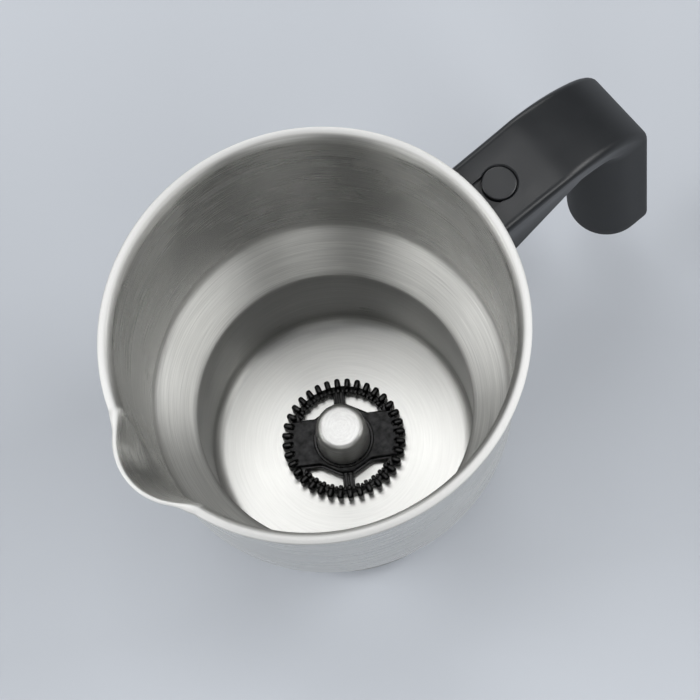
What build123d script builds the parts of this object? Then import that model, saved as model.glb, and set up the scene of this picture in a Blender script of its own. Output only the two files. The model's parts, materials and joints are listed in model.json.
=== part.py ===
"""Jug of a magnetic induction milk frother, with its handle and its magnetic whisk.

The jug stands on +Z, its axis is the Z axis and its underside is at Z = 0.  The handle points
along +X and the spout along -X.  All sizes are in millimetres.  "Drop" is a distance below the
rim's middle plane, and "lift" a distance above the inside floor.
"""

import os
from math import cos, radians, sin, sqrt

from build123d import *

os.makedirs("parts", exist_ok=True)

# ------------------------------------------------------------------ jug
wall = 0.8                   # sheet thickness of the drawn shell
cavity_depth = 123.8         # from the rim's middle plane down to the inside floor
mouth_radius = 55.1          # inside, at the rim
mouth_taper = 3.6            # how much narrower the wall is where the gentle taper ends
shoulder_drop = 64.3         # where it ends
well_radius = 40.5           # inside radius of the straight lower barrel
step_drop = 80.5             # where the barrel starts
floor_corner = 3.7           # inside radius between barrel and floor
shoulder_blend = 7.0         # rounding of the shoulder
step_blend = 1.2             # rounding of the step
bead_radius = 1.2            # rolled rim, half its thickness

# ------------------------------------------------------------------ base, under the floor
core_thickness = 3.4         # aluminium heat spreader
cap_thickness = 0.8          # ferritic steel cap
cap_edge = 1.6               # outside rounding of the cap
core_gap = 0.1               # between the core's side and the cap's

# ------------------------------------------------------------------ spout
lip_radius = 18.5            # outside radius of the lip, seen from above
lip_reach = 5.0              # how far the lip stands out past the rim's edge
lip_bead_radius = 0.6        # thin rounded edge along the lip
lip_bead_angle = 34.0        # degrees each way from the spout's middle
rim_bead_end = 17.0          # degrees each way from the spout's middle, where the rim thins down
channel_depth = 27.0         # how far the pressed channel runs down the wall
channel_root_radius = 9.0    # outside radius of the channel at its lower end
channel_root_sink = 1.0      # how far the channel's lower end lies behind the wall
channel_crease = 6.0         # rounding where the channel leaves the wall

# ------------------------------------------------------------------ spindle
spindle_radius = 8.2         # straight part, where the bush runs
spindle_straight = 7.0       # lift of the straight part's end
spindle_top_radius = 7.5
spindle_height = 20.0
spindle_edge = 0.9           # rounding round the flat top
spindle_wall = 1.2           # the spindle is a drawn, hollow cap
foot_radius = 9.8            # welded foot
foot_thickness = 0.5

# ------------------------------------------------------------------ handle
handle_width = 23.8
root_top_drop = 2.4          # upper face at the jug's wall
strap_climb = 0.6            # how much the strap climbs up to the bend
root_height = 23.0           # at the jug's wall
bend_start_reach = 18.5      # from the rim's edge to where the strap starts to bend down
bend_end_reach = 50.7        # from the rim's edge to the grip's flat back, where the bend ends
bend_drop = 23.0             # where the bend ends
throat_reach = 25.5          # from the rim's edge to where the strap is thinnest
throat_drop = 9.4            # underside of the strap there
grip_depth = 19.0            # from its flat back to its round nose
grip_lean = 4.0              # degrees, outwards going down
grip_drop = 94.8             # lower end
long_edge = 2.2              # rounding of the handle's outer edges
throat_blend = 4.5           # rounding between strap and grip
foot_edge = 2.6              # rounding of the grip's lower end
handle_wall_gap = 0.3        # between the handle's root and the jug's wall

# ------------------------------------------------------------------ handle fixing
fixing_reach = 6.3           # from the rim's edge to the axis of the screw and its plug
plug_radius = 4.7
plug_thickness = 2.4
plug_edge = 0.3              # bevel round its top
plug_gap = 0.3               # round the plug, in its seat
slot_width = 9.0             # channel in the strap's top, from the root to the plug
slot_depth = 3.0
head_radius = 3.6
head_height = 2.6
head_edge = 0.6              # rounding of its top
socket_radius = 1.5          # hexagon socket, across its corners, halved
socket_depth = 1.4
screw_radius = 2.0
screw_gap = 0.25             # round the shank
washer_radius = 4.0
washer_thickness = 0.8
washer_gap = 0.3             # round the washer and over the screw's head
web_thickness = 2.6          # plastic clamped between washer and bracket
tongue_width = 13.0
tongue_thickness = 2.0
tongue_reach = 15.0          # from the rim's edge to its free end
tongue_gap = 0.3             # round the tongue, the nut and the pad in the handle
pad_width = 17.0             # pad welded to the jug's wall
pad_height = 14.0
pad_thickness = 1.2
pad_corner = 2.0
nut_radius = 3.9             # across its corners, halved
nut_height = 3.0
screw_tip = 0.6              # how far the screw comes out of the nut

# ------------------------------------------------------------------ whisk
whisk_angle = -33.0          # degrees, of the wings' axis at rest
bar_count = 36
whisk_radius = 19.1          # over the bars
bar_width = 1.6
bar_length = 2.4             # radial
bar_lift = 0.5               # underside of the bars
bar_top_lift = 5.7
bar_bevel = 0.5              # bevel of the bars' upright corners and tops
web_lift = 1.4               # underside of ring, spokes, hub and trays
frame_thickness = 1.9
bar_root = 0.5               # how far each bar runs into the ring
ring_width = 1.9
finger_count = 11            # on each side, inside the ring, one behind each bar
finger_reach = 0.7
finger_width = 1.25
finger_top_lift = 4.7
rib_reach = 0.4              # lower ribs between the fingers
rib_width = 0.9
rib_top_lift = 4.0
plate_thickness = 1.9        # cover plate over the magnets
wing_half_width = 6.85
wing_inner = 8.0             # where the wing's side turns towards the spoke
wing_end_gap = 0.1           # from the wing's end to the ring's outside
notch_clearance = 1.2        # behind each bar, in the notches in the wing's end
notch_width = 1.8
hub_reach = 10.4             # from the axis to the root of each spoke
spoke_width = 3.6
tray_flange = 0.9            # how far the trays stand out under the plate
spoke_rail = 0.7             # rails along the spoke's sides
spoke_rail_lift = 3.9        # their tops
spoke_rib = 0.9              # rib along its middle
spoke_rib_lift = 4.4         # its top

# ------------------------------------------------------------------ bush and magnets
bush_wall = 1.0
bush_flange = 1.1
bush_flange_thickness = 0.7
bush_proud = 0.2             # above the plate
running_gap = 0.05           # radial, between spindle, bush and hub
thrust_gap = 0.1             # axial, between their faces
magnet_length = 9.6
magnet_width = 4.2
magnet_height = 2.4
magnet_margin = 1.1          # from each magnet to the notches
magnet_corner = 0.5
magnet_gap = 0.05
tray_floor = 0.5             # plastic under the magnets

# ------------------------------------------------------------------ worked-out places
floor_z = cap_thickness + core_thickness + wall
rim_z = floor_z + cavity_depth
shoulder_z = rim_z - shoulder_drop
step_z = rim_z - step_drop
underside_z = floor_z - wall
shoulder_radius = mouth_radius - mouth_taper
wall_slope = mouth_taper / shoulder_drop
bead_path = mouth_radius + bead_radius
rim_radius = bead_path + bead_radius
fixing_x = rim_radius + fixing_reach
tongue_end = rim_radius + tongue_reach
bend_start = rim_radius + bend_start_reach
bend_end = rim_radius + bend_end_reach
throat_x = rim_radius + throat_reach
bar_inner = whisk_radius - bar_length
ring_outer = bar_inner + bar_root
ring_inner = ring_outer - ring_width
wing_end = ring_outer - wing_end_gap
notch_inner = bar_inner - notch_clearance
magnet_centre = notch_inner - magnet_margin - magnet_width / 2


def nearest_corner(corners, x, y):
    """The corner of a sketch that lies nearest to a place in it."""
    return corners.sort_by_distance((x, y))[0]


# ------------------------------------------------------------------ inside of the jug
# The half section runs a little across the axis and above the rim, so that it can be grown by
# the sheet's thickness and then cut back to both.
with BuildSketch(Plane.XZ) as jug_section:
    with BuildLine():
        Polyline(
            (-well_radius, floor_z),
            (well_radius, floor_z),
            (well_radius, step_z),
            (shoulder_radius, shoulder_z),
            (mouth_radius + wall_slope * shoulder_drop, rim_z + shoulder_drop),
            (-well_radius, rim_z + shoulder_drop),
            close=True,
        )
    make_face()
    fillet(nearest_corner(jug_section.vertices(), well_radius, floor_z), radius=floor_corner)
    fillet(nearest_corner(jug_section.vertices(), well_radius, step_z), radius=step_blend)
    fillet(
        nearest_corner(jug_section.vertices(), shoulder_radius, shoulder_z), radius=shoulder_blend
    )

# The spout is a slanting cone between a wide circle at the rim and a small one down the wall.
lip_centre = lip_reach + rim_radius - lip_radius
root_wall = mouth_radius + wall - wall_slope * channel_depth
root_centre = root_wall - channel_root_sink - channel_root_radius

with BuildPart() as cavity:
    with BuildSketch(Plane.XZ):
        add(jug_section.sketch_local)
        with Locations((0, rim_z)):
            Rectangle(2 * rim_radius, rim_z, align=(Align.MIN, Align.MAX), mode=Mode.INTERSECT)
    revolve(axis=Axis.Z)
    with BuildSketch(Plane.XY.offset(rim_z - channel_depth)):
        with Locations((-root_centre, 0)):
            Circle(channel_root_radius - wall)
    with BuildSketch(Plane.XY.offset(rim_z)):
        with Locations((-lip_centre, 0)):
            Circle(lip_radius - wall)
    loft()
    fillet(
        cavity.edges(Select.LAST).filter_by(GeomType.BSPLINE), radius=channel_crease + wall
    )

# ------------------------------------------------------------------ jug_shell
# The rolled bead runs round the rim, thins down at the spout's ends and edges the lip.
rim_stop = radians(rim_bead_end)
lip_stop = radians(lip_bead_angle)
lip_path = lip_radius - wall / 2
rim_end = Plane(
    origin=(-bead_path * cos(rim_stop), bead_path * sin(rim_stop), rim_z),
    z_dir=(-sin(rim_stop), -cos(rim_stop), 0),
)
lip_end = Plane(
    origin=(-lip_centre - lip_path * cos(lip_stop), lip_path * sin(lip_stop), rim_z),
    z_dir=(-sin(lip_stop), -cos(lip_stop), 0),
)

with BuildPart() as bead_taper:
    with BuildSketch(rim_end):
        Circle(bead_radius)
    with BuildSketch(lip_end):
        Circle(lip_bead_radius)
    loft()
    mirror(about=Plane.XZ)

with BuildPart() as jug_shell:
    with BuildSketch(Plane.XZ):
        add(jug_section.sketch_local)
        offset(amount=wall, kind=Kind.ARC)
        with Locations((0, rim_z)):
            Rectangle(2 * rim_radius, rim_z, align=(Align.MIN, Align.MAX), mode=Mode.INTERSECT)
    revolve(axis=Axis.Z)
    with BuildSketch(Plane.XY.offset(rim_z - channel_depth)):
        with Locations((-root_centre, 0)):
            Circle(channel_root_radius)
    with BuildSketch(Plane.XY.offset(rim_z)):
        with Locations((-lip_centre, 0)):
            Circle(lip_radius)
    loft()
    fillet(jug_shell.edges(Select.LAST).filter_by(GeomType.BSPLINE), radius=channel_crease)
    add(cavity.part, mode=Mode.SUBTRACT)
    with BuildSketch(rim_end):
        Circle(bead_radius)
    revolve(axis=Axis.Z, revolution_arc=-(360 - 2 * rim_bead_end))
    with BuildSketch(lip_end):
        Circle(lip_bead_radius)
    revolve(axis=Axis((-lip_centre, 0, 0), (0, 0, 1)), revolution_arc=2 * lip_bead_angle)
    add(bead_taper.part)
jug_shell.part.label = "jug_shell"
export_step(jug_shell.part, "parts/jug_shell.step")

# ------------------------------------------------------------------ base_cap and heat_core
cap_radius = well_radius - floor_corner

with BuildPart() as base_cap:
    with BuildSketch(Plane.XY):
        Circle(cap_radius)
    extrude(amount=underside_z)
    fillet(base_cap.edges().group_by(Axis.Z)[0], radius=cap_edge)
    offset(amount=-cap_thickness, openings=base_cap.faces().sort_by(Axis.Z)[-1])
base_cap.part.label = "base_cap"
export_step(base_cap.part, "parts/base_cap.step")

with BuildPart() as heat_core:
    with BuildSketch(Plane.XY.offset(cap_thickness)):
        Circle(cap_radius - cap_thickness - core_gap)
    extrude(amount=core_thickness)
    fillet(heat_core.edges().group_by(Axis.Z)[0], radius=cap_edge - cap_thickness + core_gap)
heat_core.part.label = "heat_core"
export_step(heat_core.part, "parts/heat_core.step")

# ------------------------------------------------------------------ spindle
with BuildPart() as spindle:
    with BuildSketch(Plane.XZ) as spindle_section:
        with BuildLine():
            Polyline(
                (0, floor_z),
                (spindle_radius, floor_z),
                (spindle_radius, floor_z + spindle_straight),
                (spindle_top_radius, floor_z + spindle_height),
                (0, floor_z + spindle_height),
                close=True,
            )
        make_face()
    revolve(axis=Axis.Z)
    fillet(spindle.edges().group_by(Axis.Z)[-1], radius=spindle_edge)
    offset(amount=-spindle_wall, openings=spindle.faces().sort_by(Axis.Z)[0])
    with BuildSketch(Plane.XY.offset(floor_z)):
        Circle(foot_radius)
        Circle(spindle_radius - spindle_wall, mode=Mode.SUBTRACT)
    extrude(amount=foot_thickness)
spindle.part.label = "spindle"
export_step(spindle.part, "parts/spindle.step")

# ------------------------------------------------------------------ handle_bracket
# A pad hugs the jug's wall, and a tongue with the screw's hole stands out from it.
root_top_z = rim_z - root_top_drop
strap_top_z = root_top_z + strap_climb
plug_top_z = strap_top_z - strap_climb * (bend_start - fixing_x) / (bend_start - well_radius)
head_top_z = plug_top_z - plug_thickness - washer_gap
web_top_z = head_top_z - head_height - washer_thickness
tongue_top_z = web_top_z - web_thickness
nut_top_z = tongue_top_z - tongue_thickness
nut_bottom_z = nut_top_z - nut_height
pad_middle_z = tongue_top_z - tongue_thickness / 2


def outside_radius(z):
    """Radius of the jug's outside where its upper wall is at height z."""
    return mouth_radius - wall_slope * (rim_z - z) + wall * sqrt(1 + wall_slope**2)


with BuildPart() as handle_bracket:
    pad_low = pad_middle_z - pad_height / 2
    pad_high = pad_middle_z + pad_height / 2
    with BuildSketch(Plane.XZ):
        with BuildLine():
            Polyline(
                (outside_radius(pad_low), pad_low),
                (outside_radius(pad_low) + pad_thickness, pad_low),
                (outside_radius(pad_high) + pad_thickness, pad_high),
                (outside_radius(pad_high), pad_high),
                close=True,
            )
        make_face()
    revolve(axis=Axis.Z)
    with BuildSketch(Plane.XY):
        Rectangle(2 * rim_radius, pad_width, align=(Align.MIN, Align.CENTER))
    extrude(amount=rim_z, mode=Mode.INTERSECT)
    fillet(handle_bracket.edges().filter_by(Axis.X), radius=pad_corner)
    with BuildSketch(Plane.XY.offset(nut_top_z)):
        with Locations((outside_radius(pad_middle_z) + pad_thickness / 2, 0)):
            Rectangle(
                tongue_end - outside_radius(pad_middle_z) - pad_thickness / 2,
                tongue_width,
                align=(Align.MIN, Align.CENTER),
            )
        with Locations((fixing_x, 0)):
            Circle(screw_radius + screw_gap, mode=Mode.SUBTRACT)
    extrude(amount=tongue_thickness)
handle_bracket.part.label = "handle_bracket"
export_step(handle_bracket.part, "parts/handle_bracket.step")

# ------------------------------------------------------------------ bracket_nut, washer, screw
with BuildPart() as bracket_nut:
    with BuildSketch(Plane.XY.offset(nut_bottom_z)):
        with Locations((fixing_x, 0)):
            RegularPolygon(nut_radius, 6)
            Circle(screw_radius, mode=Mode.SUBTRACT)
    extrude(amount=nut_height)
bracket_nut.part.label = "bracket_nut"
export_step(bracket_nut.part, "parts/bracket_nut.step")

with BuildPart() as lock_washer:
    with BuildSketch(Plane.XY.offset(web_top_z)):
        with Locations((fixing_x, 0)):
            Circle(washer_radius)
            Circle(screw_radius + screw_gap, mode=Mode.SUBTRACT)
    extrude(amount=washer_thickness)
lock_washer.part.label = "lock_washer"
export_step(lock_washer.part, "parts/lock_washer.step")

with BuildPart() as handle_screw:
    with BuildSketch(Plane.XY.offset(nut_bottom_z - screw_tip)):
        with Locations((fixing_x, 0)):
            Circle(screw_radius)
    extrude(amount=web_top_z + washer_thickness - nut_bottom_z + screw_tip)
    with BuildSketch(Plane.XY.offset(web_top_z + washer_thickness)):
        with Locations((fixing_x, 0)):
            Circle(head_radius)
    extrude(amount=head_height)
    fillet(handle_screw.edges().group_by(Axis.Z)[-1], radius=head_edge)
    with BuildSketch(Plane.XY.offset(head_top_z)):
        with Locations((fixing_x, 0)):
            RegularPolygon(socket_radius, 6)
    extrude(amount=-socket_depth, mode=Mode.SUBTRACT)
handle_screw.part.label = "handle_screw"
export_step(handle_screw.part, "parts/handle_screw.step")

# ------------------------------------------------------------------ screw_plug
with BuildPart() as screw_plug:
    with BuildSketch(Plane.XY.offset(plug_top_z - plug_thickness)):
        with Locations((fixing_x, 0)):
            Circle(plug_radius)
    extrude(amount=plug_thickness)
    chamfer(screw_plug.edges().group_by(Axis.Z)[-1], length=plug_edge)
screw_plug.part.label = "screw_plug"
export_step(screw_plug.part, "parts/screw_plug.step")

# ------------------------------------------------------------------ handle_body
# Everything the handle keeps clear of at the jug's wall: the wall itself and the welded pad.
with BuildPart() as wall_space:
    with BuildSketch(Plane.XZ):
        add(jug_section.sketch_local)
        offset(amount=wall + handle_wall_gap, kind=Kind.ARC)
        with Locations((0, rim_z)):
            Rectangle(2 * rim_radius, rim_z, align=(Align.MIN, Align.MAX), mode=Mode.INTERSECT)
    revolve(axis=Axis.Z)

lean = radians(grip_lean)
half_width = handle_width / 2
grip_side = grip_depth - half_width
bend_z = rim_z - bend_drop
throat_z = rim_z - throat_drop
grip_end_z = rim_z - grip_drop
grip_down = Plane(
    origin=(bend_end, 0, bend_z), x_dir=(cos(lean), 0, sin(lean)), z_dir=(sin(lean), 0, -cos(lean))
)
handle_side = Plane.XZ.offset(-half_width)

with BuildPart() as handle_body:
    # Grip: a flat back and a half-round nose, leaning outwards.
    with BuildSketch(grip_down.offset(-bend_drop)):
        with Locations((-grip_side, 0)):
            Circle(half_width)
        Rectangle(grip_side, handle_width, align=(Align.MAX, Align.CENTER))
        Rectangle(
            half_width, handle_width, align=(Align.MIN, Align.CENTER), mode=Mode.SUBTRACT
        )
    extrude(amount=bend_drop + (bend_z - grip_end_z) / cos(lean))
    # Its upper end is cut away to a slope that stays inside the strap's bend.
    with BuildSketch(Plane.XZ):
        with BuildLine():
            Polyline(
                (bend_end, bend_z),
                (throat_x + half_width, throat_z),
                (throat_x - half_width, throat_z),
                (throat_x - half_width, 0),
                (2 * bend_end, 0),
                (2 * bend_end, bend_z),
                close=True,
            )
        make_face()
    extrude(amount=handle_width, both=True, mode=Mode.INTERSECT)
    # Strap: from the jug's wall out and round the bend, thinnest at the throat.
    with BuildSketch(handle_side):
        with BuildLine():
            strap_top = Line((well_radius, root_top_z), (bend_start, strap_top_z))
            outer_bend = Spline(
                strap_top @ 1,
                (bend_end, bend_z),
                tangents=(strap_top % 1, (sin(lean), -cos(lean))),
                tangent_scalars=(1.1, 1.0),
            )
            bend_across = Line(outer_bend @ 1, (bend_end - grip_side, bend_z))
            inner_bend = Spline(
                bend_across @ 1,
                (throat_x, throat_z),
                tangents=((-sin(lean), cos(lean)), (-1, -0.1)),
                tangent_scalars=(1.1, 1.2),
            )
            Polyline(
                inner_bend @ 1,
                (mouth_radius, root_top_z - root_height),
                (well_radius, root_top_z - root_height),
                strap_top @ 0,
            )
        make_face()
    extrude(amount=handle_width)
    seam = handle_body.edges(Select.LAST).filter_by(
        lambda e: e.geom_type != GeomType.LINE and abs(e.center().Y) < half_width - 0.1
    )
    fillet(seam, radius=throat_blend)
    add(wall_space.part, mode=Mode.SUBTRACT)
    # Long outer edges: along the strap's top, round the bend and down the grip's back.
    grip_middle_z = (bend_z + grip_end_z) / 2
    fillet(
        [
            handle_body.edges().sort_by_distance((x, y, z))[0]
            for y in (-half_width, half_width)
            for x, z in ((fixing_x, rim_z), (bend_end, rim_z), (bend_end + half_width, grip_middle_z))
        ],
        radius=long_edge,
    )
    fillet(handle_body.faces().sort_by(Axis.Z)[0].edges(), radius=foot_edge)
    # Seats of plug, washer and screw, one below the other.
    with BuildSketch(Plane.XY.offset(rim_z)):
        with Locations((fixing_x, 0)):
            Circle(plug_radius + plug_gap)
    extrude(amount=plug_top_z - plug_thickness - rim_z, mode=Mode.SUBTRACT)
    with BuildSketch(Plane.XY.offset(rim_z)):
        with Locations((fixing_x, 0)):
            Circle(washer_radius + washer_gap)
    extrude(amount=web_top_z - rim_z, mode=Mode.SUBTRACT)
    with BuildSketch(Plane.XY.offset(rim_z)):
        with Locations((fixing_x, 0)):
            Circle(screw_radius + screw_gap)
    extrude(amount=nut_bottom_z - screw_tip - tongue_gap - rim_z, mode=Mode.SUBTRACT)
    # Channel in the strap's top, from its root to the plug.
    with BuildSketch(Plane.XY.offset(rim_z)):
        with Locations((fixing_x, 0)):
            Rectangle(
                fixing_x - well_radius, slot_width, align=(Align.MAX, Align.CENTER)
            )
            Circle(plug_radius + plug_gap, mode=Mode.SUBTRACT)
    extrude(amount=plug_top_z - slot_depth - rim_z, mode=Mode.SUBTRACT)
    # Pocket that slides over the tongue, deeper below it for the nut.
    with BuildSketch(Plane.XY.offset(tongue_top_z)):
        with Locations((tongue_end + tongue_gap, 0)):
            Rectangle(
                tongue_end, tongue_width + 2 * tongue_gap, align=(Align.MAX, Align.CENTER)
            )
    extrude(amount=-tongue_thickness - tongue_gap, mode=Mode.SUBTRACT)
    with BuildSketch(Plane.XY.offset(nut_top_z)):
        with Locations((fixing_x + nut_radius + tongue_gap, 0)):
            Rectangle(
                tongue_end, 2 * nut_radius + 2 * tongue_gap, align=(Align.MAX, Align.CENTER)
            )
    extrude(amount=-nut_height - screw_tip - tongue_gap, mode=Mode.SUBTRACT)
    # Recess for the pad on the jug's wall.
    with BuildSketch(Plane.XY.offset(pad_middle_z)):
        with Locations((outside_radius(pad_high) + pad_thickness + tongue_gap, 0)):
            Rectangle(
                tongue_end, pad_width + 2 * tongue_gap, align=(Align.MAX, Align.CENTER)
            )
    extrude(amount=pad_height / 2 + tongue_gap, both=True, mode=Mode.SUBTRACT)
handle_body.part.label = "handle_body"
export_step(handle_body.part, "parts/handle_body.step")

# ------------------------------------------------------------------ hub_bush
whisk_floor = Plane(
    origin=(0, 0, floor_z), x_dir=(cos(radians(whisk_angle)), sin(radians(whisk_angle)), 0)
)
plate_lift = web_lift + frame_thickness
plate_top_lift = plate_lift + plate_thickness
bush_lift = foot_thickness + thrust_gap
bush_inner = spindle_radius + running_gap
bush_outer = bush_inner + bush_wall
hub_bore = bush_outer + running_gap

with BuildPart() as hub_bush:
    with BuildSketch(whisk_floor.offset(bush_lift)):
        Circle(bush_outer + bush_flange)
        Circle(bush_inner, mode=Mode.SUBTRACT)
    extrude(amount=bush_flange_thickness)
    with BuildSketch(whisk_floor.offset(bush_lift)):
        Circle(bush_outer)
        Circle(bush_inner, mode=Mode.SUBTRACT)
    extrude(amount=plate_top_lift + bush_proud - bush_lift)
hub_bush.part.label = "hub_bush"
export_step(hub_bush.part, "parts/hub_bush.step")

# ------------------------------------------------------------------ whisk_frame
# Outline of hub and wings, seen from above: the wings lie along X, the spokes along Y.
with BuildSketch() as wing_outline:
    with BuildLine():
        Polyline(
            (spoke_width / 2, hub_reach),
            (wing_inner, wing_half_width),
            (whisk_radius, wing_half_width),
            (whisk_radius, -wing_half_width),
            (wing_inner, -wing_half_width),
            (spoke_width / 2, -hub_reach),
            (-spoke_width / 2, -hub_reach),
            (-wing_inner, -wing_half_width),
            (-whisk_radius, -wing_half_width),
            (-whisk_radius, wing_half_width),
            (-wing_inner, wing_half_width),
            (-spoke_width / 2, hub_reach),
            close=True,
        )
    make_face()

bar_step = 360 / bar_count
finger_span = (finger_count - 1) * bar_step
magnet_lift = web_lift + tray_floor
magnet_top_lift = magnet_lift + magnet_height

with BuildPart() as whisk_frame:
    # Ring, spokes, trays and hub: one flat web.
    with BuildSketch(whisk_floor.offset(web_lift)):
        with BuildSketch(mode=Mode.PRIVATE) as tray_outline:
            add(wing_outline.sketch)
            offset(amount=tray_flange, kind=Kind.INTERSECTION)
            Circle(ring_outer, mode=Mode.INTERSECT)
        Circle(ring_outer)
        Circle(ring_inner, mode=Mode.SUBTRACT)
        Rectangle(spoke_width, 2 * ring_inner + tray_flange)
        add(tray_outline.sketch)
        Circle(hub_bore, mode=Mode.SUBTRACT)
    extrude(amount=frame_thickness)
    # Pockets for the magnets.
    with BuildSketch(whisk_floor.offset(magnet_lift)):
        with Locations((-magnet_centre, 0), (magnet_centre, 0)):
            RectangleRounded(
                magnet_width + 2 * magnet_gap, magnet_length + 2 * magnet_gap, magnet_corner
            )
    extrude(amount=frame_thickness, mode=Mode.SUBTRACT)
    # Inside of the ring: a finger behind each bar and lower ribs between them.
    for side in (0, 180):
        with BuildSketch(whisk_floor.offset(web_lift)):
            with PolarLocations(
                ring_inner,
                finger_count,
                start_angle=side + 90 - finger_span / 2,
                angular_range=finger_span,
                endpoint=True,
            ):
                Rectangle(2 * finger_reach, finger_width)
        extrude(amount=finger_top_lift - web_lift)
        with BuildSketch(whisk_floor.offset(web_lift)):
            with PolarLocations(
                ring_inner,
                finger_count + 1,
                start_angle=side + 90 - (finger_span + bar_step) / 2,
                angular_range=finger_span + bar_step,
                endpoint=True,
            ):
                Rectangle(2 * rib_reach, rib_width)
        extrude(amount=rib_top_lift - web_lift)
        # Rails and rib along the spoke.
        spoke_start = hub_reach + tray_flange
        with BuildSketch(whisk_floor.offset(web_lift)):
            with PolarLocations((spoke_start + ring_inner) / 2, 1, start_angle=side + 90):
                Rectangle(ring_inner - spoke_start, spoke_width)
                Rectangle(
                    ring_inner - spoke_start, spoke_width - 2 * spoke_rail, mode=Mode.SUBTRACT
                )
        extrude(amount=spoke_rail_lift - web_lift)
        with BuildSketch(whisk_floor.offset(web_lift)):
            with PolarLocations((spoke_start + ring_inner) / 2, 1, start_angle=side + 90):
                Rectangle(ring_inner - spoke_start, spoke_rib)
        extrude(amount=spoke_rib_lift - web_lift)
    # Upright bars round the ring, bevelled at their tops.
    with BuildSketch(whisk_floor.offset(bar_lift)) as bars:
        with PolarLocations(whisk_radius - bar_length / 2, bar_count):
            Rectangle(bar_length, bar_width)
        chamfer(bars.vertices(), length=bar_bevel)
    extrude(amount=bar_top_lift - bar_lift)
    chamfer(whisk_frame.edges().group_by(Axis.Z)[-1], length=bar_bevel)
whisk_frame.part.label = "whisk_frame"
export_step(whisk_frame.part, "parts/whisk_frame.step")

# ------------------------------------------------------------------ whisk_plate
with BuildPart() as whisk_plate:
    with BuildSketch(whisk_floor.offset(plate_lift)):
        add(wing_outline.sketch)
        Circle(wing_end, mode=Mode.INTERSECT)
        Circle(hub_bore, mode=Mode.SUBTRACT)
        with PolarLocations((notch_inner + whisk_radius) / 2, bar_count):
            Rectangle(whisk_radius - notch_inner, notch_width, mode=Mode.SUBTRACT)
    extrude(amount=plate_thickness)
    with BuildSketch(whisk_floor.offset(plate_lift)):
        with Locations((-magnet_centre, 0), (magnet_centre, 0)):
            RectangleRounded(
                magnet_width + 2 * magnet_gap, magnet_length + 2 * magnet_gap, magnet_corner
            )
    extrude(amount=magnet_top_lift + magnet_gap - plate_lift, mode=Mode.SUBTRACT)
whisk_plate.part.label = "whisk_plate"
export_step(whisk_plate.part, "parts/whisk_plate.step")

# ------------------------------------------------------------------ magnet_left, magnet_right
with BuildPart() as magnet_left:
    with BuildSketch(whisk_floor.offset(magnet_lift)):
        with Locations((-magnet_centre, 0)):
            RectangleRounded(magnet_width, magnet_length, magnet_corner)
    extrude(amount=magnet_height)
magnet_left.part.label = "magnet_left"
export_step(magnet_left.part, "parts/magnet_left.step")

with BuildPart() as magnet_right:
    with BuildSketch(whisk_floor.offset(magnet_lift)):
        with Locations((magnet_centre, 0)):
            RectangleRounded(magnet_width, magnet_length, magnet_corner)
    extrude(amount=magnet_height)
magnet_right.part.label = "magnet_right"
export_step(magnet_right.part, "parts/magnet_right.step")
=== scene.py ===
"""Looks of the milk frother's jug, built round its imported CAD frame.

The frame stands on +Z with its underside at the origin, its handle along +X and its spout
along -X.  Lengths are in metres and angles in radians, unless a name says otherwise.
"""

from __future__ import annotations

import json
import logging
import math
from collections.abc import Callable, Sequence
from dataclasses import dataclass
from enum import Enum
from functools import cached_property

import bmesh
import bpy
from mathutils import Matrix, Vector

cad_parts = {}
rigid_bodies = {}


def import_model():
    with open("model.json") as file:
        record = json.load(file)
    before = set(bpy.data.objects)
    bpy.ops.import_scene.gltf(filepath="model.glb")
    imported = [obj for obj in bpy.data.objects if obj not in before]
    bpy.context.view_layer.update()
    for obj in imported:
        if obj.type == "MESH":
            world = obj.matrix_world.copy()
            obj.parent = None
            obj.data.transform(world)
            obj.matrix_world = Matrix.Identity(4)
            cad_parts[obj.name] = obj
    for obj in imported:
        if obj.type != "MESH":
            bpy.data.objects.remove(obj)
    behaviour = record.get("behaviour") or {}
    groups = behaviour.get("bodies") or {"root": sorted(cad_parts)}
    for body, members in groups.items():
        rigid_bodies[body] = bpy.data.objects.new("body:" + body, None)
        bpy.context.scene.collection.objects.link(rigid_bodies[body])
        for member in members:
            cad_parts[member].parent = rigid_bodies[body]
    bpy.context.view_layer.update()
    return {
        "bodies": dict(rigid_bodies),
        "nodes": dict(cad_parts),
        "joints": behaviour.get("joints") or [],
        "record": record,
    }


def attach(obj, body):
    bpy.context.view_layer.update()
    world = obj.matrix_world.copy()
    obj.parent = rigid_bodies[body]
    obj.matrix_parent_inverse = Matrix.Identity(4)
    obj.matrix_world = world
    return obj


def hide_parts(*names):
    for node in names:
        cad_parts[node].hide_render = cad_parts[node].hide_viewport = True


LOG = logging.getLogger("frother_jug")
MM = 0.001
FULL_TURN = 2 * math.pi
QUARTER_TURN = math.pi / 2
NOISE_RANGE = (0.3, 0.7)  # where most values of a noise lie
NOISE_PAIR_RANGE = (0.7, 1.3)  # where most sums of two noises lie
MERGE_WITHIN = 0.0001 * MM
MERGE_PLATE_WITHIN = 0.001 * MM
SHORTEST_EDGE = 0.00001 * MM
LEAST_RADIUS = 0.01 * MM
MIX_FIRST, MIX_SECOND, MIX_RESULT = 6, 7, 2  # the Mix node's sockets for colours

Point = tuple[float, float]
Colour = tuple[float, float, float]
Value = float | bpy.types.NodeSocket
Station = tuple[Vector, Vector, Vector]


class Body(Enum):
    """Bodies that pieces ride on."""

    JUG = "jug"
    BUSH = "bush"
    WHISK = "whisk"


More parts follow.
